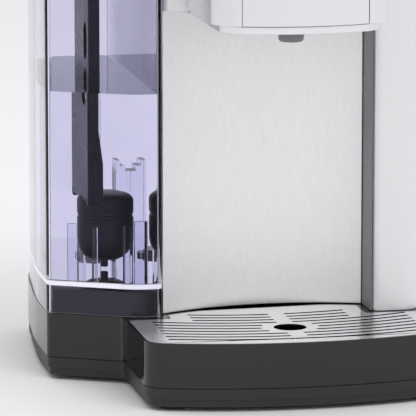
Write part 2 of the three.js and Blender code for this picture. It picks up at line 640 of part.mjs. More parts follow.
// The opening through which the housing and the head are joined.
const headPassage = () =>
  box(
    -HEAD_HALF_WIDTH + PASSAGE_MARGIN, HOUSING_FRONT_Y - WALL - 1, CEILING + PASSAGE_MARGIN,
    HEAD_HALF_WIDTH - PASSAGE_MARGIN, HOUSING_FRONT_Y + WALL + 1, HEAD_TOP - PASSAGE_MARGIN,
  );

const bodyFrame = () =>
  cut(
    ring(bodyOutline, WALL, BODY_BOTTOM, BODY_TOP),
    openBack(BAY_LEFT_X, BAY_RIGHT_X, BODY_BOTTOM, BODY_TOP),
    ...screwHolesInBack(),
  );

function steelPanel() {
  const front = panelArc(0, BAY_LEFT_X, BAY_RIGHT_X - CLEARANCE, 20);
  const back = panelArc(PANEL_THICKNESS, BAY_RIGHT_X - CLEARANCE, BAY_LEFT_X, 20);
  return prism([...front, ...back], BODY_BOTTOM, BODY_TOP);
}

function baySideTrim() {
  const trimBack = BAY_CENTRE_Y + Math.sqrt(BAY_RADIUS ** 2 - (BAY_RIGHT_X - BAY_CENTRE_X) ** 2);
  const front = COLUMN_FRONT_Y + TRIM_SETBACK;
  return box(BAY_RIGHT_X, front, BODY_BOTTOM, TRIM_RIGHT_X, trimBack - CLEARANCE, BODY_TOP);
}

const rightCover = () =>
  cut(
    ring(columnOutline, WALL, BODY_BOTTOM, HEAD_TOP),
    openBack(COLUMN_LEFT_X, COLUMN_RIGHT_X, BODY_BOTTOM, HEAD_TOP),
    ...screwHolesInBack(),
  );

function upperHousing() {
  const walls = ring(housingOutline, WALL, CEILING, HEAD_TOP);
  const floor = prism(housingOutline, CEILING, CEILING + WALL);
  const window = prism(inset(bodyOutline, PASSAGE_MARGIN + WALL), CEILING - 1, CEILING + WALL + 1);
  const back = openBack(BAY_LEFT_X, TRIM_RIGHT_X, CEILING, HEAD_TOP);
  return cut(join(walls, floor), window, headPassage(), back);
}

const REAR_LEFT_X = BAY_LEFT_X + REAR_COVER_MARGIN;
const REAR_RIGHT_X = COLUMN_RIGHT_X - REAR_COVER_MARGIN;
const REAR_BOTTOM = DECK_HEIGHT + REAR_COVER_MARGIN;
const REAR_SCREW_INSET = 4;
const REAR_SCREW_RISE = 9;
const rearScrewPlaces = [
  [REAR_LEFT_X + REAR_SCREW_INSET, REAR_BOTTOM + REAR_SCREW_RISE],
  [REAR_RIGHT_X - REAR_SCREW_INSET, HEAD_TOP - REAR_SCREW_RISE],
];
const REAR_COVER_FRONT = HOUSING_BACK_Y + CLEARANCE;

const centredRectangle = (x, z, width, height, radius) =>
  rectangle(x - width / 2, z - height / 2, x + width / 2, z + height / 2, radius);

function rearCover() {
  const y0 = REAR_COVER_FRONT - 1;
  const y1 = BACK_Y + 1;
  const outline = rectangle(REAR_LEFT_X, REAR_BOTTOM, REAR_RIGHT_X, HEAD_TOP, 5);
  const plate = uprightPlate(outline, REAR_COVER_FRONT, BACK_Y);
  const openings = [
    centredRectangle(INLET_X, INLET_Z, INLET_WIDTH + 2 * CLEARANCE, INLET_HEIGHT + 2 * CLEARANCE, 3),
    centredRectangle(SWITCH_X, SWITCH_Z, SWITCH_WIDTH + 2 * CLEARANCE, SWITCH_HEIGHT + 2 * CLEARANCE, 1),
  ];
  for (let i = 0; i < VENT_SLOTS; i++) {
    openings.push(centredRectangle(VENT_X, VENT_Z + i * VENT_PITCH, VENT_LENGTH, VENT_HEIGHT, 0));
  }
  return cut(plate, ...openings.map((o) => uprightPlate(o, y0, y1)), ...screwHolesInBack(y1));
}

function rearScrew([x, z]) {
  const seat = BACK_Y + CLEARANCE;
  const head = rodAlongY(SCREW_HEAD_RADIUS - 0.4, x, seat, seat + 1.6, z);
  const shank = rodAlongY(SCREW_SHANK_RADIUS, x, HOUSING_BACK_Y - 6, seat + 0.7, z);
  return join(head, shank);
}

// ---- Mains inlet and power switch, both open at the back of the machine ----

const SOCKET_FLOOR = 4; // of the inlet
const pinPlaces = { line: [-7, -2], neutral: [7, -2], earth: [0, 3] };

function mainsInlet() {
  const outline = centredRectangle(INLET_X, INLET_Z, INLET_WIDTH, INLET_HEIGHT, 3);
  const body = uprightPlate(outline, INLET_FRONT, BACK_Y + 1);
  const innerWidth = INLET_WIDTH - 2 * INLET_RIM;
  const innerHeight = INLET_HEIGHT - 2 * INLET_RIM;
  const socket = uprightPlate(
    centredRectangle(INLET_X, INLET_Z, innerWidth, innerHeight, 2), INLET_FRONT + SOCKET_FLOOR, BACK_Y + 2,
  );
  const flange = uprightPlate(
    centredRectangle(INLET_X, INLET_Z, INLET_WIDTH + 10, INLET_HEIGHT + 5, 4),
    BACK_Y + CLEARANCE, BACK_Y + CLEARANCE + INLET_FLANGE,
  );
  const pinHoles = Object.values(pinPlaces).map(([x, z]) =>
    uprightPlate(
      centredRectangle(INLET_X + x, INLET_Z + z, PIN_WIDTH + 2 * CLEARANCE, PIN_HEIGHT + 2 * CLEARANCE, 0),
      INLET_FRONT - 1, INLET_FRONT + SOCKET_FLOOR + 1,
    ),
  );
  return cut(join(body, flange), socket, ...pinHoles);
}

const inletPin = ([x, z]) =>
  uprightPlate(
    centredRectangle(INLET_X + x, INLET_Z + z, PIN_WIDTH, PIN_HEIGHT, 0),
    INLET_FRONT - PIN_TAIL, INLET_FRONT + SOCKET_FLOOR + PIN_LENGTH,
  );

const ROCKER_AXIS_Y = BACK_Y - 4;

function switchHousing() {
  const outline = centredRectangle(SWITCH_X, SWITCH_Z, SWITCH_WIDTH, SWITCH_HEIGHT, 1);
  const body = uprightPlate(outline, BACK_Y - 16, BACK_Y + 1);
  const flange = uprightPlate(
    centredRectangle(SWITCH_X, SWITCH_Z, SWITCH_WIDTH + 4, SWITCH_HEIGHT + 4, 2),
    BACK_Y + CLEARANCE, BACK_Y + CLEARANCE + INLET_FLANGE,
  );
  const pocket = uprightPlate(
    centredRectangle(SWITCH_X, SWITCH_Z, ROCKER_LENGTH + 3, ROCKER_WIDTH + 1, 0), BACK_Y - 10, BACK_Y + 3,
  );
  return cut(join(body, flange), pocket);
}

// The rocker turns about an upright axis at its middle, and lies tilted to its off side.
function rocker() {
  const half = ROCKER_LENGTH / 2;
  const outline = [
    corner(-half, 3), corner(-half, -1), corner(-3, -3.5), corner(3, -3.5), corner(half, -1), corner(half, 3),
    corner(0, 1.6, 20),
  ];
  const z0 = SWITCH_Z - ROCKER_WIDTH / 2;
  const shape = new THREE.Shape(outlinePoints(outline));
  const geometry = new THREE.ExtrudeGeometry(shape, { depth: ROCKER_WIDTH, bevelEnabled: false });
  return solid(geometry.rotateZ(ROCKER_TILT).translate(SWITCH_X, ROCKER_AXIS_Y, z0));
}

// ---- Dispensing head ----

const behindCeiling = () => box(-FAR, HOUSING_FRONT_Y - CLEARANCE, BODY_TOP, FAR, FAR, COLLAR_TOP + 1);
const collarRing = () => cut(ring(collarOutline, COLLAR_BAND, COLLAR_BOTTOM, COLLAR_TOP), behindCeiling());

function undersidePlate() {
  const plate = prism(inset(collarOutline, COLLAR_BAND + CLEARANCE), COLLAR_BOTTOM + 1.4, COLLAR_TOP);
  const hole = roundHole(NOZZLE_RADIUS, 0, 0, COLLAR_BOTTOM, COLLAR_TOP + 1);
  return cut(plate, behindCeiling(), hole);
}

const frontPanelBlank = (thickness, halfWidth, top) =>
  ring(headOutline, thickness, HEAD_BOTTOM - 1, top).intersect(
    box(-halfWidth, HEAD_FRONT_Y - 1, HEAD_BOTTOM - 2, halfWidth, 0, top + 1),
  );
const FRONT_PANEL_TOP = HEAD_TOP - FRONT_PANEL_TOP_BAND;

function headShell() {
  const walls = ring(headOutline, WALL, HEAD_BOTTOM, HEAD_TOP);
  const floor = prism(headOutline, HEAD_BOTTOM, HEAD_BOTTOM + WALL);
  const seatHalfWidth = FRONT_PANEL_HALF_WIDTH + CLEARANCE;
  const seat = frontPanelBlank(WALL + CLEARANCE, seatHalfWidth, FRONT_PANEL_TOP + CLEARANCE);
  const hole = roundHole(NOZZLE_RADIUS, 0, 0, HEAD_BOTTOM - 1, HEAD_BOTTOM + WALL + 1);
  return cut(join(walls, floor), seat, hole, headPassage());
}

function headFrontPanel() {
  const blank = frontPanelBlank(WALL, FRONT_PANEL_HALF_WIDTH, FRONT_PANEL_TOP);
  return cut(blank, box(-FAR, -FAR, -FAR, FAR, FAR, HEAD_BOTTOM));
}

function nozzle() {
  const tip = COLLAR_BOTTOM - NOZZLE_DROP;
  const seat = HEAD_BOTTOM + WALL + CLEARANCE;
  const tipArc = Array.from({ length: 4 }, (_, i) => {
    const angle = (Math.PI / 2) * (i / 3);
    return [
      NOZZLE_RADIUS - NOZZLE_TIP_RADIUS * (1 - Math.sin(angle)),
      tip + NOZZLE_TIP_RADIUS * (1 - Math.cos(angle)),
    ];
  });
  const flangeTop = seat + NOZZLE_FLANGE;
  const top = seat + NOZZLE_BARB_HEIGHT;
  const barb = [
    [NOZZLE_RADIUS, seat], [NOZZLE_RADIUS + 3, seat], [NOZZLE_RADIUS + 3, flangeTop],
    [NOZZLE_BARB_RADIUS, flangeTop], [NOZZLE_BARB_RADIUS, top], [NOZZLE_BORE_RADIUS, top],
  ];
  return turned([[NOZZLE_BORE_RADIUS, tip], ...tipArc, ...barb], 0, 0);
}

const PANEL_DEPTH = 1.2;
const PANEL_PROUD = 0.8;
const controlOutline = rectangle(-41, -27, 41, 17, 8);
const LENS_Y = 4;
const lensOutline = rectangle(-15, LENS_Y - 2, 15, LENS_Y + 2, 1.9);
const buttonX = (i) => (i - (BUTTON_COUNT - 1) / 2) * BUTTON_PITCH;
const buttonHoles = () =>
  Array.from({ length: BUTTON_COUNT }, (_, i) =>
    rod(BUTTON_RADIUS + CLEARANCE, buttonX(i), BUTTON_ROW_Y, SKIN_BOTTOM - 1, COVER_TOP + 3, 16),
  );
const boardPosts = [[-33, -21], [33, -21], [-33, 11], [33, 11]];
const BOARD_TOP = SKIN_BOTTOM - 9;
const BOARD_THICKNESS = 1.6;

function topCover() {
  const outer = roundTopPrism(coverOutline, COVER_BOTTOM, COVER_TOP, TOP_EDGE_RADIUS);
  const hollow = prism(inset(coverOutline, WALL + 1.2), COVER_BOTTOM - 1, SKIN_BOTTOM);
  const recess = prism(inset(controlOutline, -CLEARANCE), COVER_TOP - PANEL_DEPTH, COVER_TOP + 1);
  const lensHole = prism(inset(lensOutline, -CLEARANCE), SKIN_BOTTOM - 1, COVER_TOP);
  const posts = boardPosts.map(([x, y]) => rod(3, x, y, BOARD_TOP + CLEARANCE, SKIN_BOTTOM + 1));
  return join(cut(outer, hollow, recess, lensHole, ...buttonHoles()), ...posts);
}

function controlPanel() {
  const plate = prism(controlOutline, COVER_TOP - PANEL_DEPTH + CLEARANCE, COVER_TOP + PANEL_PROUD);
  const lensHole = prism(inset(lensOutline, -CLEARANCE), SKIN_BOTTOM - 1, COVER_TOP + 2);
  return cut(plate, lensHole, ...buttonHoles());
}

const statusLens = () => prism(lensOutline, SKIN_BOTTOM - 0.5, COVER_TOP + PANEL_PROUD);

// A button cap: its stem reaches down to the switch on the board, and its flange stops it from lifting out.
const FLANGE_TOP = SKIN_BOTTOM - 0.6;
function button(i) {
  const top = COVER_TOP + PANEL_PROUD + 1.6;
  const profile = [
    [0, FLANGE_TOP - 3.4], [2.2, FLANGE_TOP - 3.4], [2.2, FLANGE_TOP - 1.6],
    [BUTTON_RADIUS + 1.6, FLANGE_TOP - 1.6], [BUTTON_RADIUS + 1.6, FLANGE_TOP], [BUTTON_RADIUS, FLANGE_TOP],
    [BUTTON_RADIUS, top - 0.8], [BUTTON_RADIUS - 0.8, top], [0, top - 0.4],
  ];
  return turned(profile, buttonX(i), BUTTON_ROW_Y, 16);
}

function controlBoard() {
  const board = box(-37, -25, BOARD_TOP - BOARD_THICKNESS, 37, 15, BOARD_TOP);
  const switchTop = FLANGE_TOP - 3.4 - BUTTON_TRAVEL - CLEARANCE;
  const switches = Array.from({ length: BUTTON_COUNT }, (_, i) =>
    box(buttonX(i) - 3, BUTTON_ROW_Y - 3, BOARD_TOP - 1, buttonX(i) + 3, BUTTON_ROW_Y + 3, switchTop),
  );
  const chip = box(-7, -1, BOARD_TOP - 1, 7, 9, BOARD_TOP + 2);
  return join(board, chip, ...switches);
}

// ---- Water tank ----

function cradleFins() {
  const near = FILTER_RADIUS + CRADLE_GAP;
  const height = CRADLE_FIN_HEIGHT + 1;
  return Array.from({ length: CRADLE_FINS }, (_, i) => {
    const turn = THREE.MathUtils.degToRad((i * 360) / CRADLE_FINS + CRADLE_TURN);
    const geometry = new THREE.BoxGeometry(CRADLE_FIN_REACH, CRADLE_FIN_THICKNESS, height);
    geometry.translate(near + CRADLE_FIN_REACH / 2, 0, TANK_FLOOR - 1 + height / 2);
    return solid(geometry.rotateZ(turn).translate(FILTER_X, FILTER_Y, 0));
  });
}

// Clear rib tower behind the filter, in three steps that rise to the left.
function ribTower() {
  const y = FILTER_Y + 30;
  return [0, 1, 2].map((i) => {
    const x = FILTER_X + 14 + i * TOWER_PITCH;
    const top = TANK_FLOOR + TOWER_HEIGHT - i * TOWER_STEP;
    return box(x, y, TANK_FLOOR - 1, x + TOWER_PITCH + 0.2, y + TOWER_LENGTH, top);
  });
}

const hingeMiddleX = (TANK_LEFT_X + TANK_TAPER + TANK_RIGHT_X) / 2;
const EAR_WIDTH = 5;
const KNUCKLE_WIDTH = 24;
const earReach = KNUCKLE_WIDTH / 2 + CLEARANCE;
const earXs = [hingeMiddleX - earReach - EAR_WIDTH, hingeMiddleX + earReach];

function hingeEar(x) {
  const right = x + EAR_WIDTH;
  const back = HINGE_Y + HINGE_RADIUS;
  const arm = box(x, TANK_BACK_Y - 1, TANK_TOP - 10, right, back, TANK_TOP - CLEARANCE);
  const rise = box(x, HINGE_Y - HINGE_RADIUS, TANK_TOP - 1, right, back, HINGE_Z);
  return join(arm, rise, rodAlongX(HINGE_RADIUS, x, right, HINGE_Y, HINGE_Z, ROUND_SIDES));
}

function tankShell() {
  const outer = prism(tankOutline, TANK_BOTTOM, TANK_TOP);
  const inner = inset(tankOutline, TANK_WALL);
  const inside = prism(inner, TANK_FLOOR, TANK_TOP + 1);
  const skirt = prism(inner, TANK_BOTTOM - 1, TANK_FLOOR_BOTTOM);
  const ribs = [...cradleFins(), ...ribTower()].map((rib) => rib.intersect(outer));
  const valveHole = roundHole(VALVE_RADIUS, VALVE_X, VALVE_Y, TANK_FLOOR_BOTTOM - 1, TANK_FLOOR + 1);
  const pinHole = rodAlongX(PIN_RADIUS + CLEARANCE, earXs[0] - 1, earXs[1] + EAR_WIDTH + 1, HINGE_Y, HINGE_Z);
  return cut(join(cut(outer, inside, skirt), ...ribs, ...earXs.map(hingeEar)), valveHole, pinHole);
}

function tankLid() {
  const slab = roundTopPrism(inset(tankOutline, LID_INSET), LID_BOTTOM, LID_TOP, LID_EDGE_RADIUS);
  const lipOutline = inset(tankOutline, TANK_WALL + SLIDE_CLEARANCE);
  const lip = ring(lipOutline, LID_LIP_THICKNESS, LID_BOTTOM - LID_LIP, LID_BOTTOM + 1);
  const gripFront = TANK_FRONT_Y + LID_GRIP_SETBACK;
  const grip = box(
    hingeMiddleX - LID_GRIP_WIDTH / 2, gripFront, LID_TOP - 1,
    hingeMiddleX + LID_GRIP_WIDTH / 2, gripFront + LID_GRIP_THICKNESS, LID_TOP + LID_GRIP_HEIGHT,
  );
  const left = hingeMiddleX - KNUCKLE_WIDTH / 2;
  const right = hingeMiddleX + KNUCKLE_WIDTH / 2;
  const knuckle = rodAlongX(HINGE_RADIUS, left, right, HINGE_Y, HINGE_Z, ROUND_SIDES);
  const arm = box(left, TANK_BACK_Y - 6, LID_BOTTOM, right, HINGE_Y, HINGE_Z + HINGE_RADIUS - 1);
  const pinHole = rodAlongX(PIN_RADIUS + CLEARANCE, left - 1, right + 1, HINGE_Y, HINGE_Z);
  return cut(join(slab, lip, grip, arm, knuckle), pinHole);
}

const lidHingePin = () =>
  rodAlongX(PIN_RADIUS, earXs[0] - CLEARANCE, earXs[1] + EAR_WIDTH + CLEARANCE, HINGE_Y, HINGE_Z);

// ---- Filter: a bowl under a holder with two rails and a handle bar at the top ----

const BOWL_TOP = FILTER_BOTTOM + BOWL_HEIGHT;

function filterBowl() {
  const bottom = FILTER_BOTTOM;
  const r = FILTER_RADIUS;
  const tip = bottom - SPOUT_LENGTH;
  const outside = [
    [SPOUT_BORE_RADIUS, tip], [SPOUT_RADIUS, tip], [SPOUT_RADIUS, bottom], [r - 8, bottom + 0.6],
    [r - 3.2, bottom + 3.6], [r - 0.8, bottom + 8], [r, bottom + 14], [r, BOWL_TOP],
  ];
  const inside = [
    [r - FILTER_WALL, BOWL_TOP], [r - FILTER_WALL, bottom + 14], [r - 4.8, bottom + 6],
    [r - 9, bottom + 2.6], [SPOUT_BORE_RADIUS, bottom + 2],
  ];
  return turned([...outside, ...inside], FILTER_X, FILTER_Y);
}

const filterCartridge = () =>
  turned([
    [0, FILTER_BOTTOM + 8], [FILTER_RADIUS - 6, FILTER_BOTTOM + 8], [FILTER_RADIUS - 2.4, FILTER_BOTTOM + 14],
    [FILTER_RADIUS - 2.4, BOWL_TOP + 4], [0, BOWL_TOP + 8],
  ], FILTER_X, FILTER_Y);

function filterHolder() {
  const r = FILTER_RADIUS;
  const z0 = BOWL_TOP + CLEARANCE;
  const t = FILTER_WALL;
  const dome = turned([
    [r, z0], [r, FILTER_TOP - 5], [r - 3, FILTER_TOP - 1.4], [r - 8, FILTER_TOP], [r - 10, FILTER_TOP],
    [r - 10, FILTER_TOP - t], [r - 8, FILTER_TOP - t], [r - 3.6, FILTER_TOP - 3],
    [r - t, FILTER_TOP - 6], [r - t, z0],
  ], FILTER_X, FILTER_Y);
  const railTop = TANK_TOP - 8;
  const rail = (y) => box(RAIL_LEFT_X, y, FILTER_TOP - 6, RAIL_RIGHT_X, y + RAIL_DEPTH, railTop);
  const foot = cut(
    box(RAIL_LEFT_X, RAIL_FRONT_Y, FILTER_TOP - 8, RAIL_RIGHT_X, RAIL_BACK_Y, FILTER_TOP),
    rod(r - t, FILTER_X, FILTER_Y, z0, FILTER_TOP - t, ROUND_SIDES),
  );
  const handle = box(RAIL_LEFT_X, RAIL_FRONT_Y, railTop - 8, RAIL_RIGHT_X, RAIL_BACK_Y, railTop);
  const webSlots = WEB_SLOT_LEVELS.map(([bottom, top]) => {
    const radius = WEB_SLOT_RADIUS;
    const y = RAIL_FRONT_Y + RAIL_DEPTH + radius + 0.5;
    const low = TANK_TOP - bottom + radius;
    const high = TANK_TOP - top - radius;
    const x0 = RAIL_LEFT_X - 1;
    const x1 = RAIL_LEFT_X + WEB_THICKNESS + 1;
    return join(
      rodAlongX(radius, x0, x1, y, low), rodAlongX(radius, x0, x1, y, high),
      box(x0, y - radius, low, x1, y + radius, high),
    );
  });
  const webRight = RAIL_LEFT_X + WEB_THICKNESS;
  const web = cut(
    box(RAIL_LEFT_X, RAIL_FRONT_Y + 1, FILTER_TOP - 1, webRight, RAIL_BACK_Y - 1, railTop - 1),
    ...webSlots,
  );
  const gusset = uprightPlate(
    [corner(RAIL_RIGHT_X - 1, FILTER_TOP - 8), corner(RAIL_RIGHT_X + 2.8, FILTER_TOP - 8),
      corner(RAIL_RIGHT_X + 2.8, FILTER_TOP + 21), corner(RAIL_RIGHT_X - 1, FILTER_TOP + 49)],
    RAIL_FRONT_Y, RAIL_FRONT_Y + RAIL_DEPTH,
  );
  return join(dome, foot, rail(RAIL_FRONT_Y), rail(RAIL_BACK_Y - RAIL_DEPTH), web, handle, gusset);
}

// ---- Tank valve and the socket it plugs into ----

const VALVE_BOTTOM = TANK_FLOOR_BOTTOM - 8;
const WEB = 2;
const VALVE_SEAT = VALVE_BOTTOM + WEB;
const FLANGE_BOTTOM = TANK_FLOOR + CLEARANCE;
const VALVE_TOP = FLANGE_BOTTOM + 2;
const SEAL_TOP = VALVE_SEAT + CLEARANCE + 1;
const HEAD_DISC_BOTTOM = SEAL_TOP + CLEARANCE;
const HEAD_DISC_TOP = HEAD_DISC_BOTTOM + 2;
const STEM_BOTTOM = VALVE_BOTTOM - 2.2;

const tankValve = () =>
  turned([
    [VALVE_PORT_RADIUS, VALVE_BOTTOM], [VALVE_RADIUS, VALVE_BOTTOM], [VALVE_RADIUS, FLANGE_BOTTOM],
    [VALVE_FLANGE_RADIUS, FLANGE_BOTTOM], [VALVE_FLANGE_RADIUS, VALVE_TOP], [VALVE_CHAMBER_RADIUS, VALVE_TOP],
    [VALVE_CHAMBER_RADIUS, VALVE_SEAT], [VALVE_PORT_RADIUS, VALVE_SEAT],
  ], VALVE_X, VALVE_Y);

const valveSeal = () =>
  tube(SEAL_BORE_RADIUS, SEAL_RADIUS, VALVE_X, VALVE_Y, VALVE_SEAT + CLEARANCE, SEAL_TOP);

const valvePlunger = () =>
  turned([
    [0, STEM_BOTTOM], [STEM_RADIUS, STEM_BOTTOM], [STEM_RADIUS, HEAD_DISC_BOTTOM],
    [SEAL_RADIUS, HEAD_DISC_BOTTOM], [SEAL_RADIUS, HEAD_DISC_TOP],
    [GUIDE_RADIUS, HEAD_DISC_TOP], [GUIDE_RADIUS, VALVE_TOP + 2.5], [0, VALVE_TOP + 2.5],
  ], VALVE_X, VALVE_Y, 16);

function valveSpring() {
  const steps = SPRING_TURNS * 8;
  const bottom = HEAD_DISC_TOP + 2 * SPRING_WIRE_RADIUS;
  const top = VALVE_TOP - 0.8;
  const points = Array.from({ length: steps + 1 }, (_, i) => {
    const angle = (i / 8) * 2 * Math.PI;
    const x = VALVE_X + SPRING_RADIUS * Math.cos(angle);
    const y = VALVE_Y + SPRING_RADIUS * Math.sin(angle);
    return [x, y, bottom + ((top - bottom) * i) / steps];
  });
  return hose(points, SPRING_WIRE_RADIUS, SPRING_TURNS * 10);
}

function valveCap() {
  const bore = GUIDE_RADIUS + 2 * CLEARANCE;
  return tube(bore, VALVE_FLANGE_RADIUS - 2, VALVE_X, VALVE_Y, VALVE_TOP + CLEARANCE, VALVE_TOP + 1.6);
}

const OUTLET_X = VALVE_X + 6.5;
const SOCKET_BOTTOM = PLINTH_TOP - 14;

function tankSocket() {
  const inner = SOCKET_RADIUS - SOCKET_WALL;
  const lip = SOCKET_RADIUS + 2;
  const lipBottom = PLINTH_TOP + CLEARANCE;
  const lipTop = PLINTH_TOP + 1.6;
  const cup = turned([
    [0, SOCKET_BOTTOM], [SOCKET_RADIUS, SOCKET_BOTTOM], [SOCKET_RADIUS, lipBottom],
    [lip, lipBottom], [lip, lipTop], [inner, lipTop], [inner, SOCKET_BOTTOM + 2], [0, SOCKET_BOTTOM + 2],
  ], VALVE_X, VALVE_Y);
  const pin = rod(1.2, VALVE_X, VALVE_Y, SOCKET_BOTTOM + 1, STEM_BOTTOM - 0.4);
  const spigot = rod(SPIGOT_RADIUS, OUTLET_X, VALVE_Y, SOCKET_BOTTOM - 10, SOCKET_BOTTOM + 1);
  const bore = rod(SPIGOT_BORE_RADIUS, OUTLET_X, VALVE_Y, SOCKET_BOTTOM - 11, SOCKET_BOTTOM + 3);
  return cut(join(cup, pin, spigot), bore);
}

// ---- Pump, heater, boards and hoses inside the body ----

const PUMP_BOTTOM = DECK_HEIGHT - 20;

function pump() {
  const left = PUMP_X - PUMP_WIDTH / 2;
  const right = PUMP_X + PUMP_WIDTH / 2;
  const head = box(left, PUMP_Y - 18, PUMP_BOTTOM, right, PUMP_Y + 16, PUMP_BOTTOM + PUMP_HEAD_HEIGHT);
  const motorBottom = PUMP_BOTTOM + PUMP_HEAD_HEIGHT - 1;
  const motor = rod(PUMP_MOTOR_RADIUS, PUMP_X, PUMP_Y, motorBottom, PUMP_BOTTOM + PUMP_HEIGHT, ROUND_SIDES);
  const portHeight = PUMP_BOTTOM + PUMP_HEAD_HEIGHT / 2;
  const inletPort = rodAlongX(PUMP_PORT_RADIUS, left - PUMP_PORT_LENGTH, left + 1, PUMP_Y, portHeight);
  const outletPort = rodAlongX(PUMP_PORT_RADIUS, right - 1, right + PUMP_PORT_LENGTH, PUMP_Y, portHeight);
  return join(head, motor, inletPort, outletPort);
}

const BOILER_BOTTOM = DECK_HEIGHT + 6;
const BOILER_TOP = BOILER_BOTTOM + BOILER_HEIGHT;
const BOILER_INLET_X = BOILER_X - 20;
const BOILER_OUTLET_Y = BOILER_Y - 22;
const BOILER_WALL = 2;

function boiler() {
  const r = BOILER_RADIUS;
  const t = BOILER_WALL;
  const cup = turned([
    [0, BOILER_BOTTOM], [r - 4, BOILER_BOTTOM], [r, BOILER_BOTTOM + 4], [r, BOILER_TOP], [r - t, BOILER_TOP],
    [r - t, BOILER_BOTTOM + 5], [r - 5, BOILER_BOTTOM + t], [0, BOILER_BOTTOM + t],
  ], BOILER_X, BOILER_Y);
  const spigot = rod(SPIGOT_RADIUS, BOILER_INLET_X, BOILER_Y, BOILER_BOTTOM - 8, BOILER_BOTTOM + 1);
  const bore = rod(SPIGOT_BORE_RADIUS, BOILER_INLET_X, BOILER_Y, BOILER_BOTTOM - 9, BOILER_BOTTOM + 5);
  return cut(join(cup, spigot), bore);
}

const LEG_OFFSET = 14;
const BOILER_LID_TOP = BOILER_TOP + CLEARANCE + 4;
const LEG_RADIUS = 3.5;

function boilerLid() {
  const lid = rod(BOILER_RADIUS + 3, BOILER_X, BOILER_Y, BOILER_TOP + CLEARANCE, BOILER_LID_TOP, ROUND_SIDES);
  const spigot = rod(SPIGOT_RADIUS, BOILER_X, BOILER_OUTLET_Y, BOILER_LID_TOP - 1, BOILER_LID_TOP + 10);
  const bore = rod(SPIGOT_BORE_RADIUS, BOILER_X, BOILER_OUTLET_Y, BOILER_TOP, BOILER_LID_TOP + 11);
  const legHoles = [-1, 1].map((side) =>
    rod(LEG_RADIUS + CLEARANCE, BOILER_X + side * LEG_OFFSET, BOILER_Y, BOILER_TOP, BOILER_LID_TOP + 1),
  );
  return cut(join(lid, spigot), bore, ...legHoles);
}

// A heating rod bent into a U that hangs from the lid.
function heatingElement() {
  const low = BOILER_BOTTOM + 16;
  const legs = [-1, 1].map((side) =>
    rod(LEG_RADIUS, BOILER_X + side * LEG_OFFSET, BOILER_Y, low, BOILER_LID_TOP + 8),
  );
  const reach = LEG_OFFSET + LEG_RADIUS;
  return join(...legs, rodAlongX(LEG_RADIUS, BOILER_X - reach, BOILER_X + reach, BOILER_Y, low));
}

const thermostat = () =>
  rod(8, BOILER_X, BOILER_Y + 24, BOILER_LID_TOP + CLEARANCE, BOILER_LID_TOP + 8, ROUND_SIDES);

// It stands on edge in the column, facing the boiler.
function powerBoard() {
  const x = COLUMN_LEFT_X + 14;
  const y = HOUSING_BACK_Y - 131;
  const z = DECK_HEIGHT + 27;
  const board = box(x, y, z, x + BOARD_THICKNESS, y + 90, z + 80);
  const relay = box(x - 8, y + 15, z + 10, x + 1, y + 35, z + 30);
  const transformer = box(x - 9, y + 50, z + 15, x + 1, y + 78, z + 42);
  return join(board, relay, transformer);
}

const suctionHose = () =>
  hose([
    [OUTLET_X, VALVE_Y, SOCKET_BOTTOM - 11], [OUTLET_X, VALVE_Y + 1, SOCKET_BOTTOM - 17],
    [OUTLET_X + 4, VALVE_Y + 24, PUMP_BOTTOM + 5], [PUMP_X - 37, PUMP_Y - 2, PUMP_BOTTOM + 9.5],
    [PUMP_X - 27, PUMP_Y, PUMP_BOTTOM + 10],
  ], HOSE_RADIUS, 18);

const feedHose = () =>
  hose([
    [PUMP_X + 27, PUMP_Y, PUMP_BOTTOM + 10], [PUMP_X + 33, PUMP_Y - 1, PUMP_BOTTOM + 9.5],
    [BOILER_INLET_X + 2, BOILER_Y + 26, PUMP_BOTTOM + 1], [BOILER_INLET_X, BOILER_Y + 2, BOILER_BOTTOM - 18],
    [BOILER_INLET_X, BOILER_Y, BOILER_BOTTOM - 9],
  ], HOSE_RADIUS, 16);

const outletHose = () => {
  const start = BOILER_LID_TOP + 10.5;
  const end = HEAD_BOTTOM + WALL + NOZZLE_BARB_HEIGHT + 0.8;
  return hose([
    [BOILER_X, BOILER_OUTLET_Y, start], [BOILER_X, BOILER_OUTLET_Y, start + 40],
    [BOILER_X, BOILER_OUTLET_Y - 2, end + 16], [BOILER_X - 3, HOUSING_FRONT_Y + 20, end + 30],
    [2, 14, end + 24], [0, 1, end + 10], [0, 0, end],
  ], HOSE_RADIUS, 30);
};

// ---- The object ----

const dispenser = new THREE.Group();

function add(name, body, material) {
  const mesh = new THREE.Mesh(geometryOf(body), material);
  mesh.name = name;
  dispenser.add(mesh);
}

const cornerNames = ["front_left", "front_right", "rear_left", "rear_right"];

add("base_shell", baseShell(), blackGloss());
add("base_pan", basePan(), blackMatt());
footPlaces.forEach((place, i) => add("foot_" + cornerNames[i], foot(place), rubber()));
panScrewPlaces.forEach((place, i) => add("base_screw_" + cornerNames[i], panScrew(place), steel()));
add("drip_tray", dripTray(), blackMatt());
add("drip_plate", dripPlate(), chrome());

add("body_frame", bodyFrame(), silver());
add("steel_panel", steelPanel(), steel());
add("bay_side_trim", baySideTrim(), greyPlastic());
add("right_cover", rightCover(), silver());
add("upper_housing", upperHousing(), silver());
add("rear_cover", rearCover(), blackMatt());
rearScrewPlaces.forEach((place, i) => add("rear_screw_" + ["lower", "upper"][i], rearScrew(place), steel()));
add("mains_inlet", mainsInlet(), blackMatt());
Object.entries(pinPlaces).forEach(([name, place]) => add("inlet_pin_" + name, inletPin(place), brass()));
add("switch_housing", switchHousing(), blackMatt());
add("power_rocker", rocker(), blackGloss());

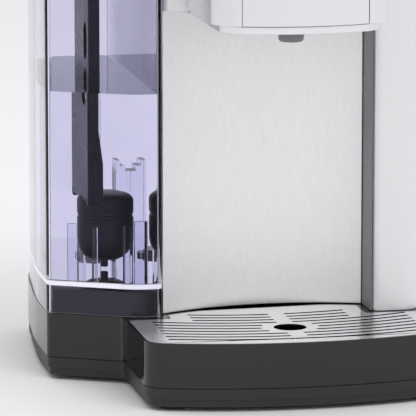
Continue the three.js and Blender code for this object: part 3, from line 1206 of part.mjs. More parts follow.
add("collar_ring", collarRing(), chrome());
add("underside_plate", undersidePlate(), greyPlastic());
add("head_shell", headShell(), silver());
add("head_front_panel", headFrontPanel(), silver());
add("nozzle", nozzle(), greyPlastic());
add("top_cover", topCover(), silver());
add("control_panel", controlPanel(), blackGloss());
add("status_lens", statusLens(), whitePlastic());
["small", "medium", "large", "power"].forEach((name, i) => add("button_" + name, button(i), greyPlastic()));
add("control_board", controlBoard(), greenBoard());

add("tank_shell", tankShell(), clearPlastic());
add("tank_lid", tankLid(), navyPlastic());
add("lid_hinge_pin", lidHingePin(), steel());
add("filter_holder", filterHolder(), navyPlastic());
add("filter_bowl", filterBowl(), navyPlastic());
add("filter_cartridge", filterCartridge(), whitePlastic());
add("tank_valve", tankValve(), whitePlastic());
add("valve_seal", valveSeal(), silicone());
add("valve_plunger", valvePlunger(), whitePlastic());
add("valve_spring", valveSpring(), steel());
add("valve_cap", valveCap(), whitePlastic());
add("tank_socket", tankSocket(), blackMatt());

add("pump", pump(), blackMatt());
add("boiler", boiler(), steel());
add("boiler_lid", boilerLid(), steel());
add("heating_element", heatingElement(), steel());
add("thermostat", thermostat(), whitePlastic());
add("power_board", powerBoard(), greenBoard());
add("suction_hose", suctionHose(), silicone());
add("feed_hose", feedHose(), silicone());
add("outlet_hose", outletHose(), silicone());

// The origin goes to the middle of the footprint, at the height of the worktop.
const footprint = new THREE.Box3().setFromObject(dispenser);
const middle = footprint.getCenter(new THREE.Vector3());
dispenser.position.set(-middle.x, -middle.y, 0);

export default dispenser;
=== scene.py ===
# Countertop water dispenser: the looks of the machine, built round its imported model.
# Metres, Z up, front at -Y.
import json
import math
import bmesh
import bpy
from mathutils import Matrix, Vector


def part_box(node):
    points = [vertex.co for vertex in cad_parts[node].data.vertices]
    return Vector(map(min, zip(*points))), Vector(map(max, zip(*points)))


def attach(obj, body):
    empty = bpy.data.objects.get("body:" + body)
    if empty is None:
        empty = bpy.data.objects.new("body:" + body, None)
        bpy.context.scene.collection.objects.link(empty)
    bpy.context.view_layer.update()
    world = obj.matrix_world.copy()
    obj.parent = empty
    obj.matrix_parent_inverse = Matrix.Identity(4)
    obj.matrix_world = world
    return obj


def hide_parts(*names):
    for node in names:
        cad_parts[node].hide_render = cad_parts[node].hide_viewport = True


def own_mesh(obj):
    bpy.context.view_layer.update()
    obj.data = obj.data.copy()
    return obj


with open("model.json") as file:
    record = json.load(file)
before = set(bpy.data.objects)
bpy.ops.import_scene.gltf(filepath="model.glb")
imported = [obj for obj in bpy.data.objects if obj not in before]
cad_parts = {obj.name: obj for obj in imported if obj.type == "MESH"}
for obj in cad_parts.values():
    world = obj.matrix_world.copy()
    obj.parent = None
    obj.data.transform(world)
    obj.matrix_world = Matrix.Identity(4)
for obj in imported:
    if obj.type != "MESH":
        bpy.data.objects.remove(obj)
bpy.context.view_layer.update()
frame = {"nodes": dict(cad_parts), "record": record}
cad = frame["nodes"]
bodies = frame["record"]["behaviour"]["bodies"]


# ---- The view ----
# A long lens looks a little down on the machine, from the front and slightly to its left.
bpy.ops.object.camera_add(
    location=(-0.5348, -2.6247, 0.57), rotation=(math.radians(80.1), 0, math.radians(-11.3))
)
camera = bpy.context.object
camera.data.lens = 365.4
camera.data.clip_end = 20
bpy.context.scene.camera = camera
bpy.context.scene.view_settings.view_transform = "Standard"


# ---- The studio ----
# A plain pale floor in a plain pale surround, with soft light from two large lamps above.
def link(owner, source, target):
    owner.node_tree.links.new(source, target)


def node(owner, kind, values=(), **settings):
    """A node of that kind, with its properties and then its input values set."""
    made = owner.node_tree.nodes.new("ShaderNode" + kind)
    for name, value in settings.items():
        setattr(made, name, value)
    for name, value in dict(values).items():
        made.inputs[name].default_value = value
    return made


surround = bpy.data.worlds.new("surround")
surround.use_nodes = True
surround.node_tree.nodes["Background"].inputs["Color"].default_value = (0.82, 0.82, 0.84, 1)
bpy.context.scene.world = surround

bpy.ops.mesh.primitive_plane_add(size=30, location=(0, 0, 0))
floor = bpy.context.object
floor.name = "floor"
pale = bpy.data.materials.new("pale_floor")
pale.use_nodes = True
paint = pale.node_tree.nodes["Principled BSDF"]
paint.inputs["Base Color"].default_value = (0.9, 0.9, 0.9, 1)
paint.inputs["Roughness"].default_value = 0.9
floor.data.materials.append(pale)

for name, spot, turn, size, power in (
    ("key", (0.7, -1.7, 2.2), (42, 0, 22), 1.6, 16),
    ("top", (-0.4, 0.5, 2.2), (-8, -8, 0), 1.2, 7),
):
    bpy.ops.object.light_add(type="AREA", location=spot, rotation=[math.radians(a) for a in turn])
    bpy.context.object.name = name
    bpy.context.object.data.size = size
    bpy.context.object.data.energy = power


# ---- Base ----
# A gloss black moulding that carries the tray and the tank, on a matt pan with four rubber feet that are
# pushed into it and four screws from below.
def effect(name, values, outputs):
    """A node group with those inputs and outputs, and its two end nodes."""
    group = bpy.data.node_groups.new(name, "ShaderNodeTree")
    for socket, value in values.items():
        made = group.interface.new_socket(socket, in_out="INPUT", socket_type="NodeSocketFloat")
        made.default_value = value
    for socket in outputs:
        group.interface.new_socket(socket, in_out="OUTPUT", socket_type="NodeSocketFloat")
    start = group.nodes.new("NodeGroupInput")
    end = group.nodes.new("NodeGroupOutput")
    return group, start, end


class Owner:
    """Lets link and node work inside a node group."""

    def __init__(self, group):
        self.node_tree = group


edge_wear, start, end = effect("edge_wear", {"Width": 0.0006, "Amount": 1.0}, ["Mask"])
inside = Owner(edge_wear)
rounded = node(inside, "Bevel", samples=4)
flat = node(inside, "NewGeometry")
turned_away = node(inside, "VectorMath", operation="DOT_PRODUCT")
edge = node(inside, "MapRange", {"From Min": 0.995, "From Max": 0.9, "To Min": 0.0, "To Max": 1.0})
patches = node(inside, "TexNoise", {"Scale": 90.0, "Detail": 3.0})
spot = node(inside, "TexCoord")
broken = node(inside, "MapRange", {"From Min": 0.42, "From Max": 0.62})
worn = node(inside, "Math", operation="MULTIPLY")
amount = node(inside, "Math", operation="MULTIPLY")
link(inside, start.outputs["Width"], rounded.inputs["Radius"])
link(inside, rounded.outputs["Normal"], turned_away.inputs[0])
link(inside, flat.outputs["Normal"], turned_away.inputs[1])
link(inside, turned_away.outputs["Value"], edge.inputs["Value"])
link(inside, spot.outputs["Object"], patches.inputs["Vector"])
link(inside, patches.outputs["Fac"], broken.inputs["Value"])
link(inside, edge.outputs["Result"], worn.inputs[0])
link(inside, broken.outputs["Result"], worn.inputs[1])
link(inside, worn.outputs["Value"], amount.inputs[0])
link(inside, start.outputs["Amount"], amount.inputs[1])
link(inside, amount.outputs["Value"], end.inputs["Mask"])

handling, start, end = effect("handling", {"Scale": 14.0}, ["Mask"])
inside = Owner(handling)
spot = node(inside, "TexCoord")
smears = node(inside, "TexNoise", {"Detail": 5.0, "Roughness": 0.62, "Distortion": 0.6})
smeared = node(inside, "MapRange", {"From Min": 0.44, "From Max": 0.68})
link(inside, spot.outputs["Object"], smears.inputs["Vector"])
link(inside, start.outputs["Scale"], smears.inputs["Scale"])
link(inside, smears.outputs["Fac"], smeared.inputs["Value"])
link(inside, smeared.outputs["Result"], end.inputs["Mask"])


def use_effect(material, group, **values):
    made = node(material, "Group", node_tree=group)
    for name, value in values.items():
        made.inputs[name].default_value = value
    return made


def new_material(name, **values):
    """A material, and its Principled shader with those plain values set."""
    material = bpy.data.materials.new(name)
    material.use_nodes = True
    shader = material.node_tree.nodes["Principled BSDF"]
    for socket, value in values.items():
        shader.inputs[socket.replace("_", " ")].default_value = value
    return material, shader


def two_tones(material, mask, first, second, target):
    """Feeds a socket with one value or colour where the mask is dark, and another where it is light."""
    if isinstance(first, tuple):
        mix = node(material, "Mix", {"A": (*first, 1), "B": (*second, 1)}, data_type="RGBA")
    else:
        mix = node(material, "Mix", {"A": first, "B": second}, data_type="FLOAT")
    link(material, mask, mix.inputs["Factor"])
    link(material, mix.outputs["Result"], target)
    return mix


def rough_skin(material, shader, scale, depth, stretch=(1, 1, 1)):
    """A fine moulded or brushed texture that the light picks out. Gives back its height."""
    spot = node(material, "TexCoord")
    pull = node(material, "Mapping", {"Scale": stretch})
    skin = node(material, "TexNoise", {"Scale": scale, "Detail": 2.0, "Roughness": 0.6})
    bump = node(material, "Bump", {"Strength": 0.6, "Distance": depth})
    link(material, spot.outputs["Object"], pull.inputs["Vector"])
    link(material, pull.outputs["Vector"], skin.inputs["Vector"])
    link(material, skin.outputs["Fac"], bump.inputs["Height"])
    link(material, bump.outputs["Normal"], shader.inputs["Normal"])
    return skin.outputs["Fac"]


def moulded(name, colour, worn_colour, gloss, handled_gloss, scale, depth, **plain):
    """Moulded plastic: a faint skin, gloss dulled where it is handled, edges rubbed lighter."""
    material, shader = new_material(name, **plain)
    wear = use_effect(material, edge_wear, Width=0.0005, Amount=0.7)
    touch = use_effect(material, handling, Scale=13.0)
    skin = rough_skin(material, shader, scale, depth)
    mottle = node(material, "MapRange", {"From Min": 0.3, "From Max": 0.7, "To Min": 0.0, "To Max": 0.16})
    tone = node(material, "Math", operation="MAXIMUM")
    link(material, skin, mottle.inputs["Value"])
    link(material, mottle.outputs["Result"], tone.inputs[0])
    link(material, wear.outputs["Mask"], tone.inputs[1])
    two_tones(material, tone.outputs["Value"], colour, worn_colour, shader.inputs["Base Color"])
    two_tones(material, touch.outputs["Mask"], gloss, handled_gloss, shader.inputs["Roughness"])
    return material


gloss_black = moulded(
    "gloss_black_plastic", (0.006, 0.006, 0.0065), (0.03, 0.03, 0.032), 0.09, 0.17, 900, 0.00001
)
matt_black = moulded(
    "matt_black_plastic", (0.011, 0.011, 0.012), (0.04, 0.04, 0.042), 0.46, 0.56, 1900, 0.00004
)
rubber = moulded("foot_rubber", (0.015, 0.015, 0.015), (0.05, 0.05, 0.05), 0.7, 0.85, 1300, 0.00005)


def only(piece):
    """Makes the piece the one that operators act on."""
    bpy.ops.object.select_all(action="DESELECT")
    piece.select_set(True)
    bpy.context.view_layer.objects.active = piece


def edit(piece, kind="FACE"):
    """Goes into edit mode with nothing selected."""
    only(piece)
    bpy.ops.object.mode_set(mode="EDIT")
    bpy.ops.mesh.select_mode(type=kind)
    bpy.ops.mesh.select_all(action="DESELECT")


def pick(piece, test, add=False):
    """Selects the faces or edges, as the select mode says, that pass the test."""
    mesh = bmesh.from_edit_mesh(piece.data)
    wants_faces = bpy.context.tool_settings.mesh_select_mode[2]
    if not add:
        bpy.ops.mesh.select_all(action="DESELECT")
    for part in mesh.faces if wants_faces else mesh.edges:
        if test(part):
            part.select_set(True)
    mesh.select_flush_mode()
    bmesh.update_edit_mesh(piece.data)


def apply(piece, kind, **settings):
    """Adds a modifier and applies it."""
    only(piece)
    modifier = piece.modifiers.new(kind.lower(), kind)
    for name, value in settings.items():
        setattr(modifier, name, value)
    bpy.ops.object.modifier_apply(modifier=modifier.name)


def finish(piece, name, body, material, replaced=(), smooth=35):
    """Puts the piece's place in its mesh, says what it is and what it moves with, and hides the imported
    parts it replaces.
    """
    only(piece)
    bpy.ops.object.transform_apply(location=True, rotation=True, scale=True)
    bpy.ops.object.shade_smooth_by_angle(angle=math.radians(smooth))
    apply(piece, "WEIGHTED_NORMAL", keep_sharp=True)
    piece.name = piece.data.name = name
    piece.data.materials.clear()
    piece.data.materials.append(material)
    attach(piece, body)
    if replaced:
        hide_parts(*replaced)
    return piece


def body_of(source):
    return next(body for body, members in bodies.items() if source in members)


def softened(source, name, material, rounding, segments=2, smooth=35):
    """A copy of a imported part, its flats made whole and its edges rounded as a mould leaves them."""
    piece = bpy.data.objects.new(name, cad[source].data.copy())
    bpy.context.scene.collection.objects.link(piece)
    edit(piece, "VERT")
    bpy.ops.mesh.select_all(action="SELECT")
    bpy.ops.mesh.remove_doubles(threshold=0.00002)
    bpy.ops.mesh.dissolve_limited(angle_limit=math.radians(0.6))
    bpy.ops.object.mode_set(mode="OBJECT")
    apply(
        piece, "BEVEL", width=rounding, segments=segments, limit_method="ANGLE",
        angle_limit=math.radians(32), miter_outer="MITER_ARC",
    )
    return finish(piece, name, body_of(source), material, [source], smooth)


softened("base_shell", "base_moulding", gloss_black, 0.0008, 3)
softened("base_pan", "base_underside", matt_black, 0.0006)

FOOT_GROOVE = 0.0012


def centre_of(source):
    low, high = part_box(source)
    return (low + high) / 2


def another(pattern, place):
    """A copy of the pattern, with its own mesh, at that place."""
    piece = pattern.copy()
    piece.data = pattern.data.copy()
    bpy.context.scene.collection.objects.link(piece)
    piece.location = place
    return piece


def ringed_foot(radius, height):
    """A rubber disc with two grooves turned in its face, at the origin."""
    bpy.ops.mesh.primitive_cylinder_add(vertices=48, radius=radius, depth=height)
    foot = bpy.context.object
    edit(foot)
    pick(foot, lambda face: face.normal.z < -0.9)
    for width, depth in ((0.0016, 0), (FOOT_GROOVE, -0.0006), (0.0016, 0.0006), (FOOT_GROOVE, -0.0006)):
        bpy.ops.mesh.inset(thickness=width, depth=depth)
    bpy.ops.object.mode_set(mode="OBJECT")
    apply(foot, "BEVEL", width=0.0004, segments=3, limit_method="ANGLE", angle_limit=math.radians(40))
    return foot


CORNERS = ("front_left", "front_right", "rear_left", "rear_right")
foot_low, foot_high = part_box("foot_front_left")
foot_pattern = ringed_foot((foot_high.x - foot_low.x) / 2, foot_high.z - foot_low.z)
for corner in CORNERS:
    source = "foot_" + corner
    foot = another(foot_pattern, centre_of(source))
    finish(foot, source + "_rubber", "base", rubber, [source])
bpy.data.objects.remove(foot_pattern)

SCREW_RADIUS = 0.0034
SCREW_HEAD = 0.0022


def length_along(source, facing):
    low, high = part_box(source)
    return (high - low).dot(Vector(map(abs, facing)))


def cross_screw(length):
    """A pan-head screw of that length with a cross recess. It stands at the origin, its head up."""
    bpy.ops.mesh.primitive_cylinder_add(vertices=40, radius=SCREW_RADIUS, depth=SCREW_HEAD)
    screw = bpy.context.object
    edit(screw)
    pick(screw, lambda face: face.normal.z > 0.9)
    bpy.ops.mesh.inset(thickness=SCREW_RADIUS * 0.3, depth=SCREW_HEAD * 0.22)
    bpy.ops.mesh.inset(thickness=SCREW_RADIUS * 0.3, depth=SCREW_HEAD * 0.06)
    pick(screw, lambda face: face.normal.z < -0.9)
    bpy.ops.mesh.inset(thickness=SCREW_RADIUS * 0.55)
    bpy.ops.mesh.extrude_region_move(TRANSFORM_OT_translate={"value": (0, 0, SCREW_HEAD - length)})
    bpy.ops.object.mode_set(mode="OBJECT")
    for turn in (0, math.pi / 2):
        bpy.ops.mesh.primitive_cube_add(size=1, location=(0, 0, SCREW_HEAD * 0.8), rotation=(0, 0, turn))
        blade = bpy.context.object
        blade.scale = (SCREW_RADIUS * 1.25, SCREW_RADIUS * 0.22, SCREW_HEAD * 1.1)
        apply(screw, "BOOLEAN", object=blade, operation="DIFFERENCE", solver="MANIFOLD")
        bpy.data.objects.remove(blade)
    return screw


def drive_screws(sources, facing, material):
    """Puts a copy of one screw at each source. Facing is the way its head looks, down or to the back."""
    length = length_along(sources[0], facing)
    pattern = cross_screw(length)
    for source in sources:
        outer = centre_of(source) + Vector(facing) * length / 2
        screw = another(pattern, outer - Vector(facing) * SCREW_HEAD * 0.78)
        screw.rotation_euler = Vector(facing).to_track_quat("Z", "Y").to_euler()
        finish(screw, source + "_head", "base", material, [source])
    bpy.data.objects.remove(pattern)


def metal(name, colour, dull_colour, gloss, dull_gloss, scale, depth, stretch, **plain):
    """Brushed or turned metal: fine lines that follow the stretch, and patches of handling."""
    material, shader = new_material(name, Metallic=1.0, **plain)
    lines = rough_skin(material, shader, scale, depth, stretch)
    touch = use_effect(material, handling, Scale=9.0)
    spread = node(material, "MapRange", {"From Min": 0.3, "From Max": 0.7})
    haze = node(material, "Math", {1: 0.35}, operation="MULTIPLY")
    both = node(material, "Math", operation="ADD", use_clamp=True)
    link(material, lines, spread.inputs["Value"])
    link(material, touch.outputs["Mask"], haze.inputs[0])
    link(material, spread.outputs["Result"], both.inputs[0])
    link(material, haze.outputs["Value"], both.inputs[1])
    two_tones(material, spread.outputs["Result"], colour, dull_colour, shader.inputs["Base Color"])
    two_tones(material, both.outputs["Value"], gloss, dull_gloss, shader.inputs["Roughness"])
    return material


screw_steel = metal(
    "screw_steel", (0.5, 0.5, 0.51), (0.36, 0.36, 0.37), 0.25, 0.42, 1500, 0.00003, (1, 1, 1)
)
drive_screws(["base_screw_" + corner for corner in CORNERS], (0, 0, -1), screw_steel)


# ---- Drip tray and plate ----
# A matt black tub hangs in the base on a thin flange. Over it lies a stamped plate of polished steel with
# ten rows of curved slots and a round hole under the nozzle.
nozzle_low, nozzle_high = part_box("nozzle")
AXIS = (nozzle_low + nozzle_high) / 2  # the line that the water falls along
plate_low, plate_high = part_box("drip_plate")
base_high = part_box("base_shell")[1]

softened("drip_tray", "tray_tub", matt_black, 0.0006)


def traced(corners, z, steps_per_turn=48):
    """A flat face at height z with its outline traced corner by corner; each is (x, y, rounding)."""
    points = []
    for i, (x, y, radius) in enumerate(corners):
        here = Vector((x, y))
        back = (Vector(corners[i - 1][:2]) - here).normalized()
        ahead = (Vector(corners[(i + 1) % len(corners)][:2]) - here).normalized()
        opening = back.angle(ahead)
        if not radius or opening > 3.13:
            points.append(here)
            continue
        centre = here + (back + ahead).normalized() * radius / math.sin(opening / 2)
        first = here + back * radius / math.tan(opening / 2)
        sweep = (first - centre).angle_signed(here + ahead * radius / math.tan(opening / 2) - centre)
        count = max(2, round(abs(sweep) / math.tau * steps_per_turn))
        for k in range(count + 1):
            arm = first - centre
            arm.rotate(Matrix.Rotation(-sweep * k / count, 2))
            points.append(centre + arm)
    bpy.ops.mesh.primitive_plane_add(size=0.001, location=(*points[0], z))
    piece = bpy.context.object
    edit(piece, "VERT")
    bpy.ops.mesh.select_all(action="SELECT")
    bpy.ops.mesh.merge(type="CENTER")
    for before, after in zip(points, points[1:]):
        bpy.ops.mesh.extrude_region_move(TRANSFORM_OT_translate={"value": (*(after - before), 0)})
    bpy.ops.mesh.select_all(action="SELECT")
    bpy.ops.mesh.edge_face_add()
    bpy.ops.object.mode_set(mode="OBJECT")
    only(piece)
    bpy.ops.object.transform_apply(location=True, rotation=True, scale=True)
    return piece


def raised(piece, height):
    """Extrudes a traced face into a slab."""
    edit(piece)
    bpy.ops.mesh.select_all(action="SELECT")
    bpy.ops.mesh.extrude_region_move(TRANSFORM_OT_translate={"value": (0, 0, height)})
    bpy.ops.mesh.select_all(action="SELECT")
    bpy.ops.mesh.normals_make_consistent(inside=False)
    bpy.ops.object.mode_set(mode="OBJECT")
    return piece


def joined(first, *others):
    only(first)
    for other in others:
        other.select_set(True)
    bpy.ops.object.join()
    return first


def cut_away(piece, cutter):
    apply(piece, "BOOLEAN", object=cutter, operation="DIFFERENCE", solver="MANIFOLD")
    bpy.data.objects.remove(cutter)


def arc(centre, radius, from_x, to_x, count, side=-1):
    """Corners along a circle about the centre, on its front side (-1) or its back side (1)."""
    xs = [from_x + (to_x - from_x) * i / count for i in range(count + 1)]
    return [(x, centre[1] + side * math.sqrt(radius**2 - (x - centre[0]) ** 2), 0) for x in xs]


PLATE_CORNER = 0.0134
FRONT_RADIUS = 0.2851
BAY_RADIUS = 0.1535
BAY_GAP = 0.0042
BAY_CENTRE = (AXIS.x + 0.004, AXIS.y - 0.0791)
plate_left = plate_low.x + 0.0002
plate_right = plate_high.x - 0.0002
plate_shoulder_right = AXIS.y + 0.0343
plate_shoulder_left = AXIS.y + 0.04
bay_left = AXIS.x - 0.0678
bay_right = AXIS.x + 0.0568
front_centre = (AXIS.x, plate_low.y + FRONT_RADIUS)
front_edge = arc(front_centre, FRONT_RADIUS, plate_left, plate_right, 24)
bay_edge = arc(BAY_CENTRE, BAY_RADIUS - BAY_GAP, bay_right, bay_left, 24, side=1)
plate_outline = [
    (*front_edge[0][:2], PLATE_CORNER), *front_edge[1:-1], (*front_edge[-1][:2], PLATE_CORNER),
    (plate_right, plate_shoulder_right, 0.003), (bay_right, plate_shoulder_right, 0.004),
    *bay_edge,
    (bay_left, plate_shoulder_left, 0.003), (plate_left, plate_shoulder_left, 0.003),
]
plate = raised(traced(plate_outline, plate_low.z), plate_high.z - plate_low.z)

SLOT_CIRCLE = 0.238  # radius of the slot row that would pass under the nozzle
SLOT_CENTRE = (AXIS.x, AXIS.y + SLOT_CIRCLE)
SLOT_WIDTH = 0.003
SLOT_PITCH = 0.00855
SLOT_FIRST = 0.0423
LONG_REACH = 0.082
SHORT_REACH = {-1: 0.056, 1: 0.045}  # of the three rows at the back, left and right
SPINE_HALF = 0.0048  # half the plain strip down the middle of the plate
HOLE_RADIUS = 0.0103
HOLE_MARGIN = 0.0158  # the plain ring round the hole


def slot_cutter(row, side):
    """A curved slot with round ends, tall enough to go through the plate."""
    y = SLOT_FIRST - SLOT_PITCH * row
    radius = SLOT_CIRCLE - y
    near = SPINE_HALF
    if row in (4, 5, 6):
        near = math.sqrt(max(HOLE_MARGIN**2 - y**2, 0)) + 0.002
    far = SHORT_REACH[side] if row < 3 else LONG_REACH
    inner, outer = sorted((AXIS.x + side * near, AXIS.x + side * far))
    half = SLOT_WIDTH / 2
    ends = half * 0.98
    outward = arc(SLOT_CENTRE, radius + half, inner, outer, 14)
    homeward = arc(SLOT_CENTRE, radius - half, outer, inner, 14)
    outline = [
        (*outward[0][:2], ends), *outward[1:-1], (*outward[-1][:2], ends),
        (*homeward[0][:2], ends), *homeward[1:-1], (*homeward[-1][:2], ends),
    ]
    return raised(traced(outline, plate_low.z - 0.001, 24), 0.004)


slots = joined(*[slot_cutter(row, side) for row in range(10) for side in (-1, 1)])
cut_away(plate, slots)
bpy.ops.mesh.primitive_cylinder_add(
    vertices=72, radius=HOLE_RADIUS, depth=0.01, location=(AXIS.x, AXIS.y, plate_high.z)
)
cut_away(plate, bpy.context.object)
apply(plate, "BEVEL", width=0.0003, segments=2, limit_method="ANGLE", angle_limit=math.radians(50))
polished_steel, plate_shader = new_material("polished_steel", Metallic=0.75)
rolled = rough_skin(polished_steel, plate_shader, 60, 0.00001, (1, 26, 26))
# Painted shade: the plate's faces that don't look up, the slot walls and the outer rim, are coloured near
# black, as the shade in the slots and along the rim.
facing = node(polished_steel, "NewGeometry")
upward = node(polished_steel, "SeparateXYZ")
sideways_shade = node(polished_steel, "MapRange", {"From Min": 0.35, "From Max": 0.9})
streaks = node(
    polished_steel, "Mix", {"A": (0.95, 0.95, 0.95, 1), "B": (0.87, 0.87, 0.87, 1)}, data_type="RGBA"
)
link(polished_steel, rolled, streaks.inputs["Factor"])
link(polished_steel, facing.outputs["Normal"], upward.inputs["Vector"])
link(polished_steel, upward.outputs["Z"], sideways_shade.inputs["Value"])
tone = node(polished_steel, "Mix", {"A": (0.03, 0.03, 0.03, 1)}, data_type="RGBA")
link(polished_steel, sideways_shade.outputs["Result"], tone.inputs["Factor"])
link(polished_steel, streaks.outputs["Result"], tone.inputs["B"])
link(polished_steel, tone.outputs["Result"], plate_shader.inputs["Base Color"])
wiped = use_effect(polished_steel, handling, Scale=9.0)
two_tones(polished_steel, wiped.outputs["Mask"], 0.16, 0.3, plate_shader.inputs["Roughness"])
finish(plate, "slotted_plate", "drip_plate", polished_steel, ["drip_plate"])


# ---- Cup bay ----
# The curved back of the bay is a brushed steel sheet clipped over the body frame. A moulded strip
# closes its right-hand side; its mid grey is painted shade for that side wall of the bay.
brushed_steel = metal(
    "brushed_steel", (0.93, 0.93, 0.93), (0.84, 0.84, 0.84), 0.36, 0.44, 160, 0.00002, (26, 26, 0.6)
)
brushed_steel.node_tree.nodes["Principled BSDF"].inputs["Metallic"].default_value = 0.8
softened("steel_panel", "bay_panel", brushed_steel, 0.0005, 3)
# Painted shade: this mid grey stands in for the shade on the bay's right-hand wall.
bay_shade_grey = moulded("bay_shade_grey_plastic", (0.17, 0.17, 0.18), (0.3, 0.3, 0.31), 0.4, 0.5, 1400, 0.00003)
softened("bay_side_trim", "bay_side_strip", bay_shade_grey, 0.0004)


# ---- Column, housing and body frame ----
# Silver painted mouldings. The right-hand cover makes the column beside the bay, and the upper housing
# carries the head.
def painted_silver(name, light, dark, gloss):
    """Silver paint: fine metal flakes in a clear coat, dulled in patches, pale where edges rub."""
    material, shader = new_material(name, Metallic=0.4, Coat_Weight=0.3, Coat_Roughness=0.12)
    flakes = rough_skin(material, shader, 1400, 0.0000015)
    wear = use_effect(material, edge_wear, Width=0.0006, Amount=0.6)
    touch = use_effect(material, handling, Scale=8.0)
    paint_tone = node(material, "Mix", {"A": (*dark, 1), "B": (*light, 1)}, data_type="RGBA")
    link(material, flakes, paint_tone.inputs["Factor"])
    edge_tone = node(material, "Mix", {"B": (0.92, 0.92, 0.92, 1)}, data_type="RGBA")
    link(material, wear.outputs["Mask"], edge_tone.inputs["Factor"])
    link(material, paint_tone.outputs["Result"], edge_tone.inputs["A"])
    link(material, edge_tone.outputs["Result"], shader.inputs["Base Color"])
    two_tones(material, touch.outputs["Mask"], gloss, gloss + 0.1, shader.inputs["Roughness"])
    return material


silver_paint = painted_silver("silver_paint", (0.82, 0.82, 0.83), (0.74, 0.74, 0.75), 0.24)
softened("right_cover", "column_cover", silver_paint, 0.001, 3)
softened("upper_housing", "upper_housing_moulding", silver_paint, 0.0008, 3)
softened("body_frame", "body_frame_moulding", silver_paint, 0.0006)


# ---- Head ----
# A half-round silver head over the bay. A satin steel collar is pressed on from below, and the nozzle
# is a grey moulding with an outlet at its middle.
satin_steel = metal(
    "satin_steel", (0.9, 0.9, 0.91), (0.8, 0.8, 0.81), 0.3, 0.4, 90, 0.00001, (0.6, 0.6, 30)
)
softened("collar_ring", "collar_trim", satin_steel, 0.0006, 3)
# The head's underside takes the same mid grey, painted shade under the head.
softened("underside_plate", "head_underside", bay_shade_grey, 0.0006)
softened("head_shell", "head_moulding", silver_paint, 0.0009, 3)
softened("head_front_panel", "head_front_cover", silver_paint, 0.0008, 3)
softened("top_cover", "top_cover_moulding", silver_paint, 0.0012, 3)


def turned_piece(profile, x, y, steps=64):
    """A solid turned about an upright axis from (radius, height) corners. A closed ring of them."""
    bpy.ops.mesh.primitive_plane_add(size=0.001, location=(x + profile[0][0], y, profile[0][1]))
    piece = bpy.context.object
    edit(piece, "VERT")
    bpy.ops.mesh.select_all(action="SELECT")
    bpy.ops.mesh.merge(type="CENTER")
    ring = list(profile) + [profile[0]]
    for (r0, z0), (r1, z1) in zip(ring, ring[1:]):
        bpy.ops.mesh.extrude_region_move(TRANSFORM_OT_translate={"value": (r1 - r0, 0, z1 - z0)})
    bpy.ops.mesh.select_all(action="SELECT")
    bpy.ops.mesh.remove_doubles(threshold=0.000001)
    bpy.ops.mesh.select_all(action="SELECT")
    bpy.ops.mesh.spin(steps=steps, angle=math.tau, center=(x, y, 0), axis=(0, 0, 1))
    bpy.ops.mesh.select_all(action="SELECT")
    bpy.ops.mesh.remove_doubles(threshold=0.000005)
    bpy.ops.mesh.select_all(action="SELECT")
    bpy.ops.mesh.normals_make_consistent(inside=False)
    bpy.ops.object.mode_set(mode="OBJECT")
    return piece


spout_grey = moulded("spout_grey_plastic", (0.2, 0.2, 0.21), (0.28, 0.28, 0.29), 0.34, 0.44, 1400, 0.00003)
tip, seat = nozzle_low.z, nozzle_low.z + 0.0179
rim = 0.008
outlet = turned_piece(
    [
        (0.0034, tip + 0.004), (0.0048, tip + 0.0006), (0.0062, tip + 0.0002), (0.0066, tip),
        (rim - 0.0009, tip + 0.0003), (rim - 0.0002, tip + 0.0012), (rim, tip + 0.003), (rim, tip + 0.011),
        (rim + 0.0006, tip + 0.0118), (rim + 0.0006, tip + 0.0128), (rim, tip + 0.0136), (rim, seat),
        (0.011, seat), (0.011, seat + 0.0018), (0.0048, seat + 0.0018), (0.0048, nozzle_high.z - 0.004),
        (0.0054, nozzle_high.z - 0.003), (0.0042, nozzle_high.z), (0.0034, nozzle_high.z),
    ],
    AXIS.x, AXIS.y,
)
apply(outlet, "BEVEL", width=0.0002, segments=2, limit_method="ANGLE", angle_limit=math.radians(40))
finish(outlet, "outlet_nozzle", "base", spout_grey, ["nozzle"])

softened("control_panel", "control_plate", gloss_black, 0.0004, 3)
button_grey = moulded("button_grey_plastic", (0.2, 0.2, 0.21), (0.34, 0.34, 0.35), 0.3, 0.42, 1500, 0.00002)


key_low, key_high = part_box("button_small")
key_top = key_high.z
key_pattern = turned_piece(
    [
        (0, key_low.z), (0.0022, key_low.z), (0.0022, key_low.z + 0.0018), (0.0075, key_low.z + 0.0018),
        (0.0075, key_low.z + 0.0034), (0.006, key_low.z + 0.0034), (0.006, key_top - 0.0006),
        (0.0057, key_top - 0.0002), (0.0051, key_top), (0.0045, key_top - 0.0002),
        (0.003, key_top - 0.0006), (0, key_top - 0.0007),
    ],
    0, 0, 48,
)


def round_button(source, mark):
    """A copy of the dished round key. Its mark stands up from the key in a few strokes."""
    middle = centre_of(source)
    key = another(key_pattern, (middle.x, middle.y, key_low.z))
    for width, depth, dx, dy in mark:
        bpy.ops.mesh.primitive_cube_add(size=1, location=(middle.x + dx, middle.y + dy, key_top - 0.0005))
        stroke = bpy.context.object
        stroke.scale = (width, depth, 0.0007)
        apply(stroke, "BEVEL", width=0.12, segments=2)
        joined(key, stroke)
    return finish(key, source + "_key", source, button_grey, [source])


bar = 0.0005
round_button("button_small", [(0.0018, bar, 0, -0.001), (bar, 0.0016, -0.0008, 0), (bar, 0.0016, 0.0008, 0)])
round_button("button_medium", [(0.0024, bar, 0, -0.0014), (bar, 0.0026, -0.001, 0), (bar, 0.0026, 0.001, 0)])
round_button("button_large", [(0.003, bar, 0, -0.0018), (bar, 0.0036, -0.0013, 0), (bar, 0.0036, 0.0013, 0)])
round_button("button_power", [(bar, 0.0022, 0, 0.0012)] + [
    (0.0009, bar, 0.0018 * math.cos(a), 0.0018 * math.sin(a)) for a in (-0.3, -1.57, -2.84, 3.5, -0.9, -2.2)
])
bpy.data.objects.remove(key_pattern)

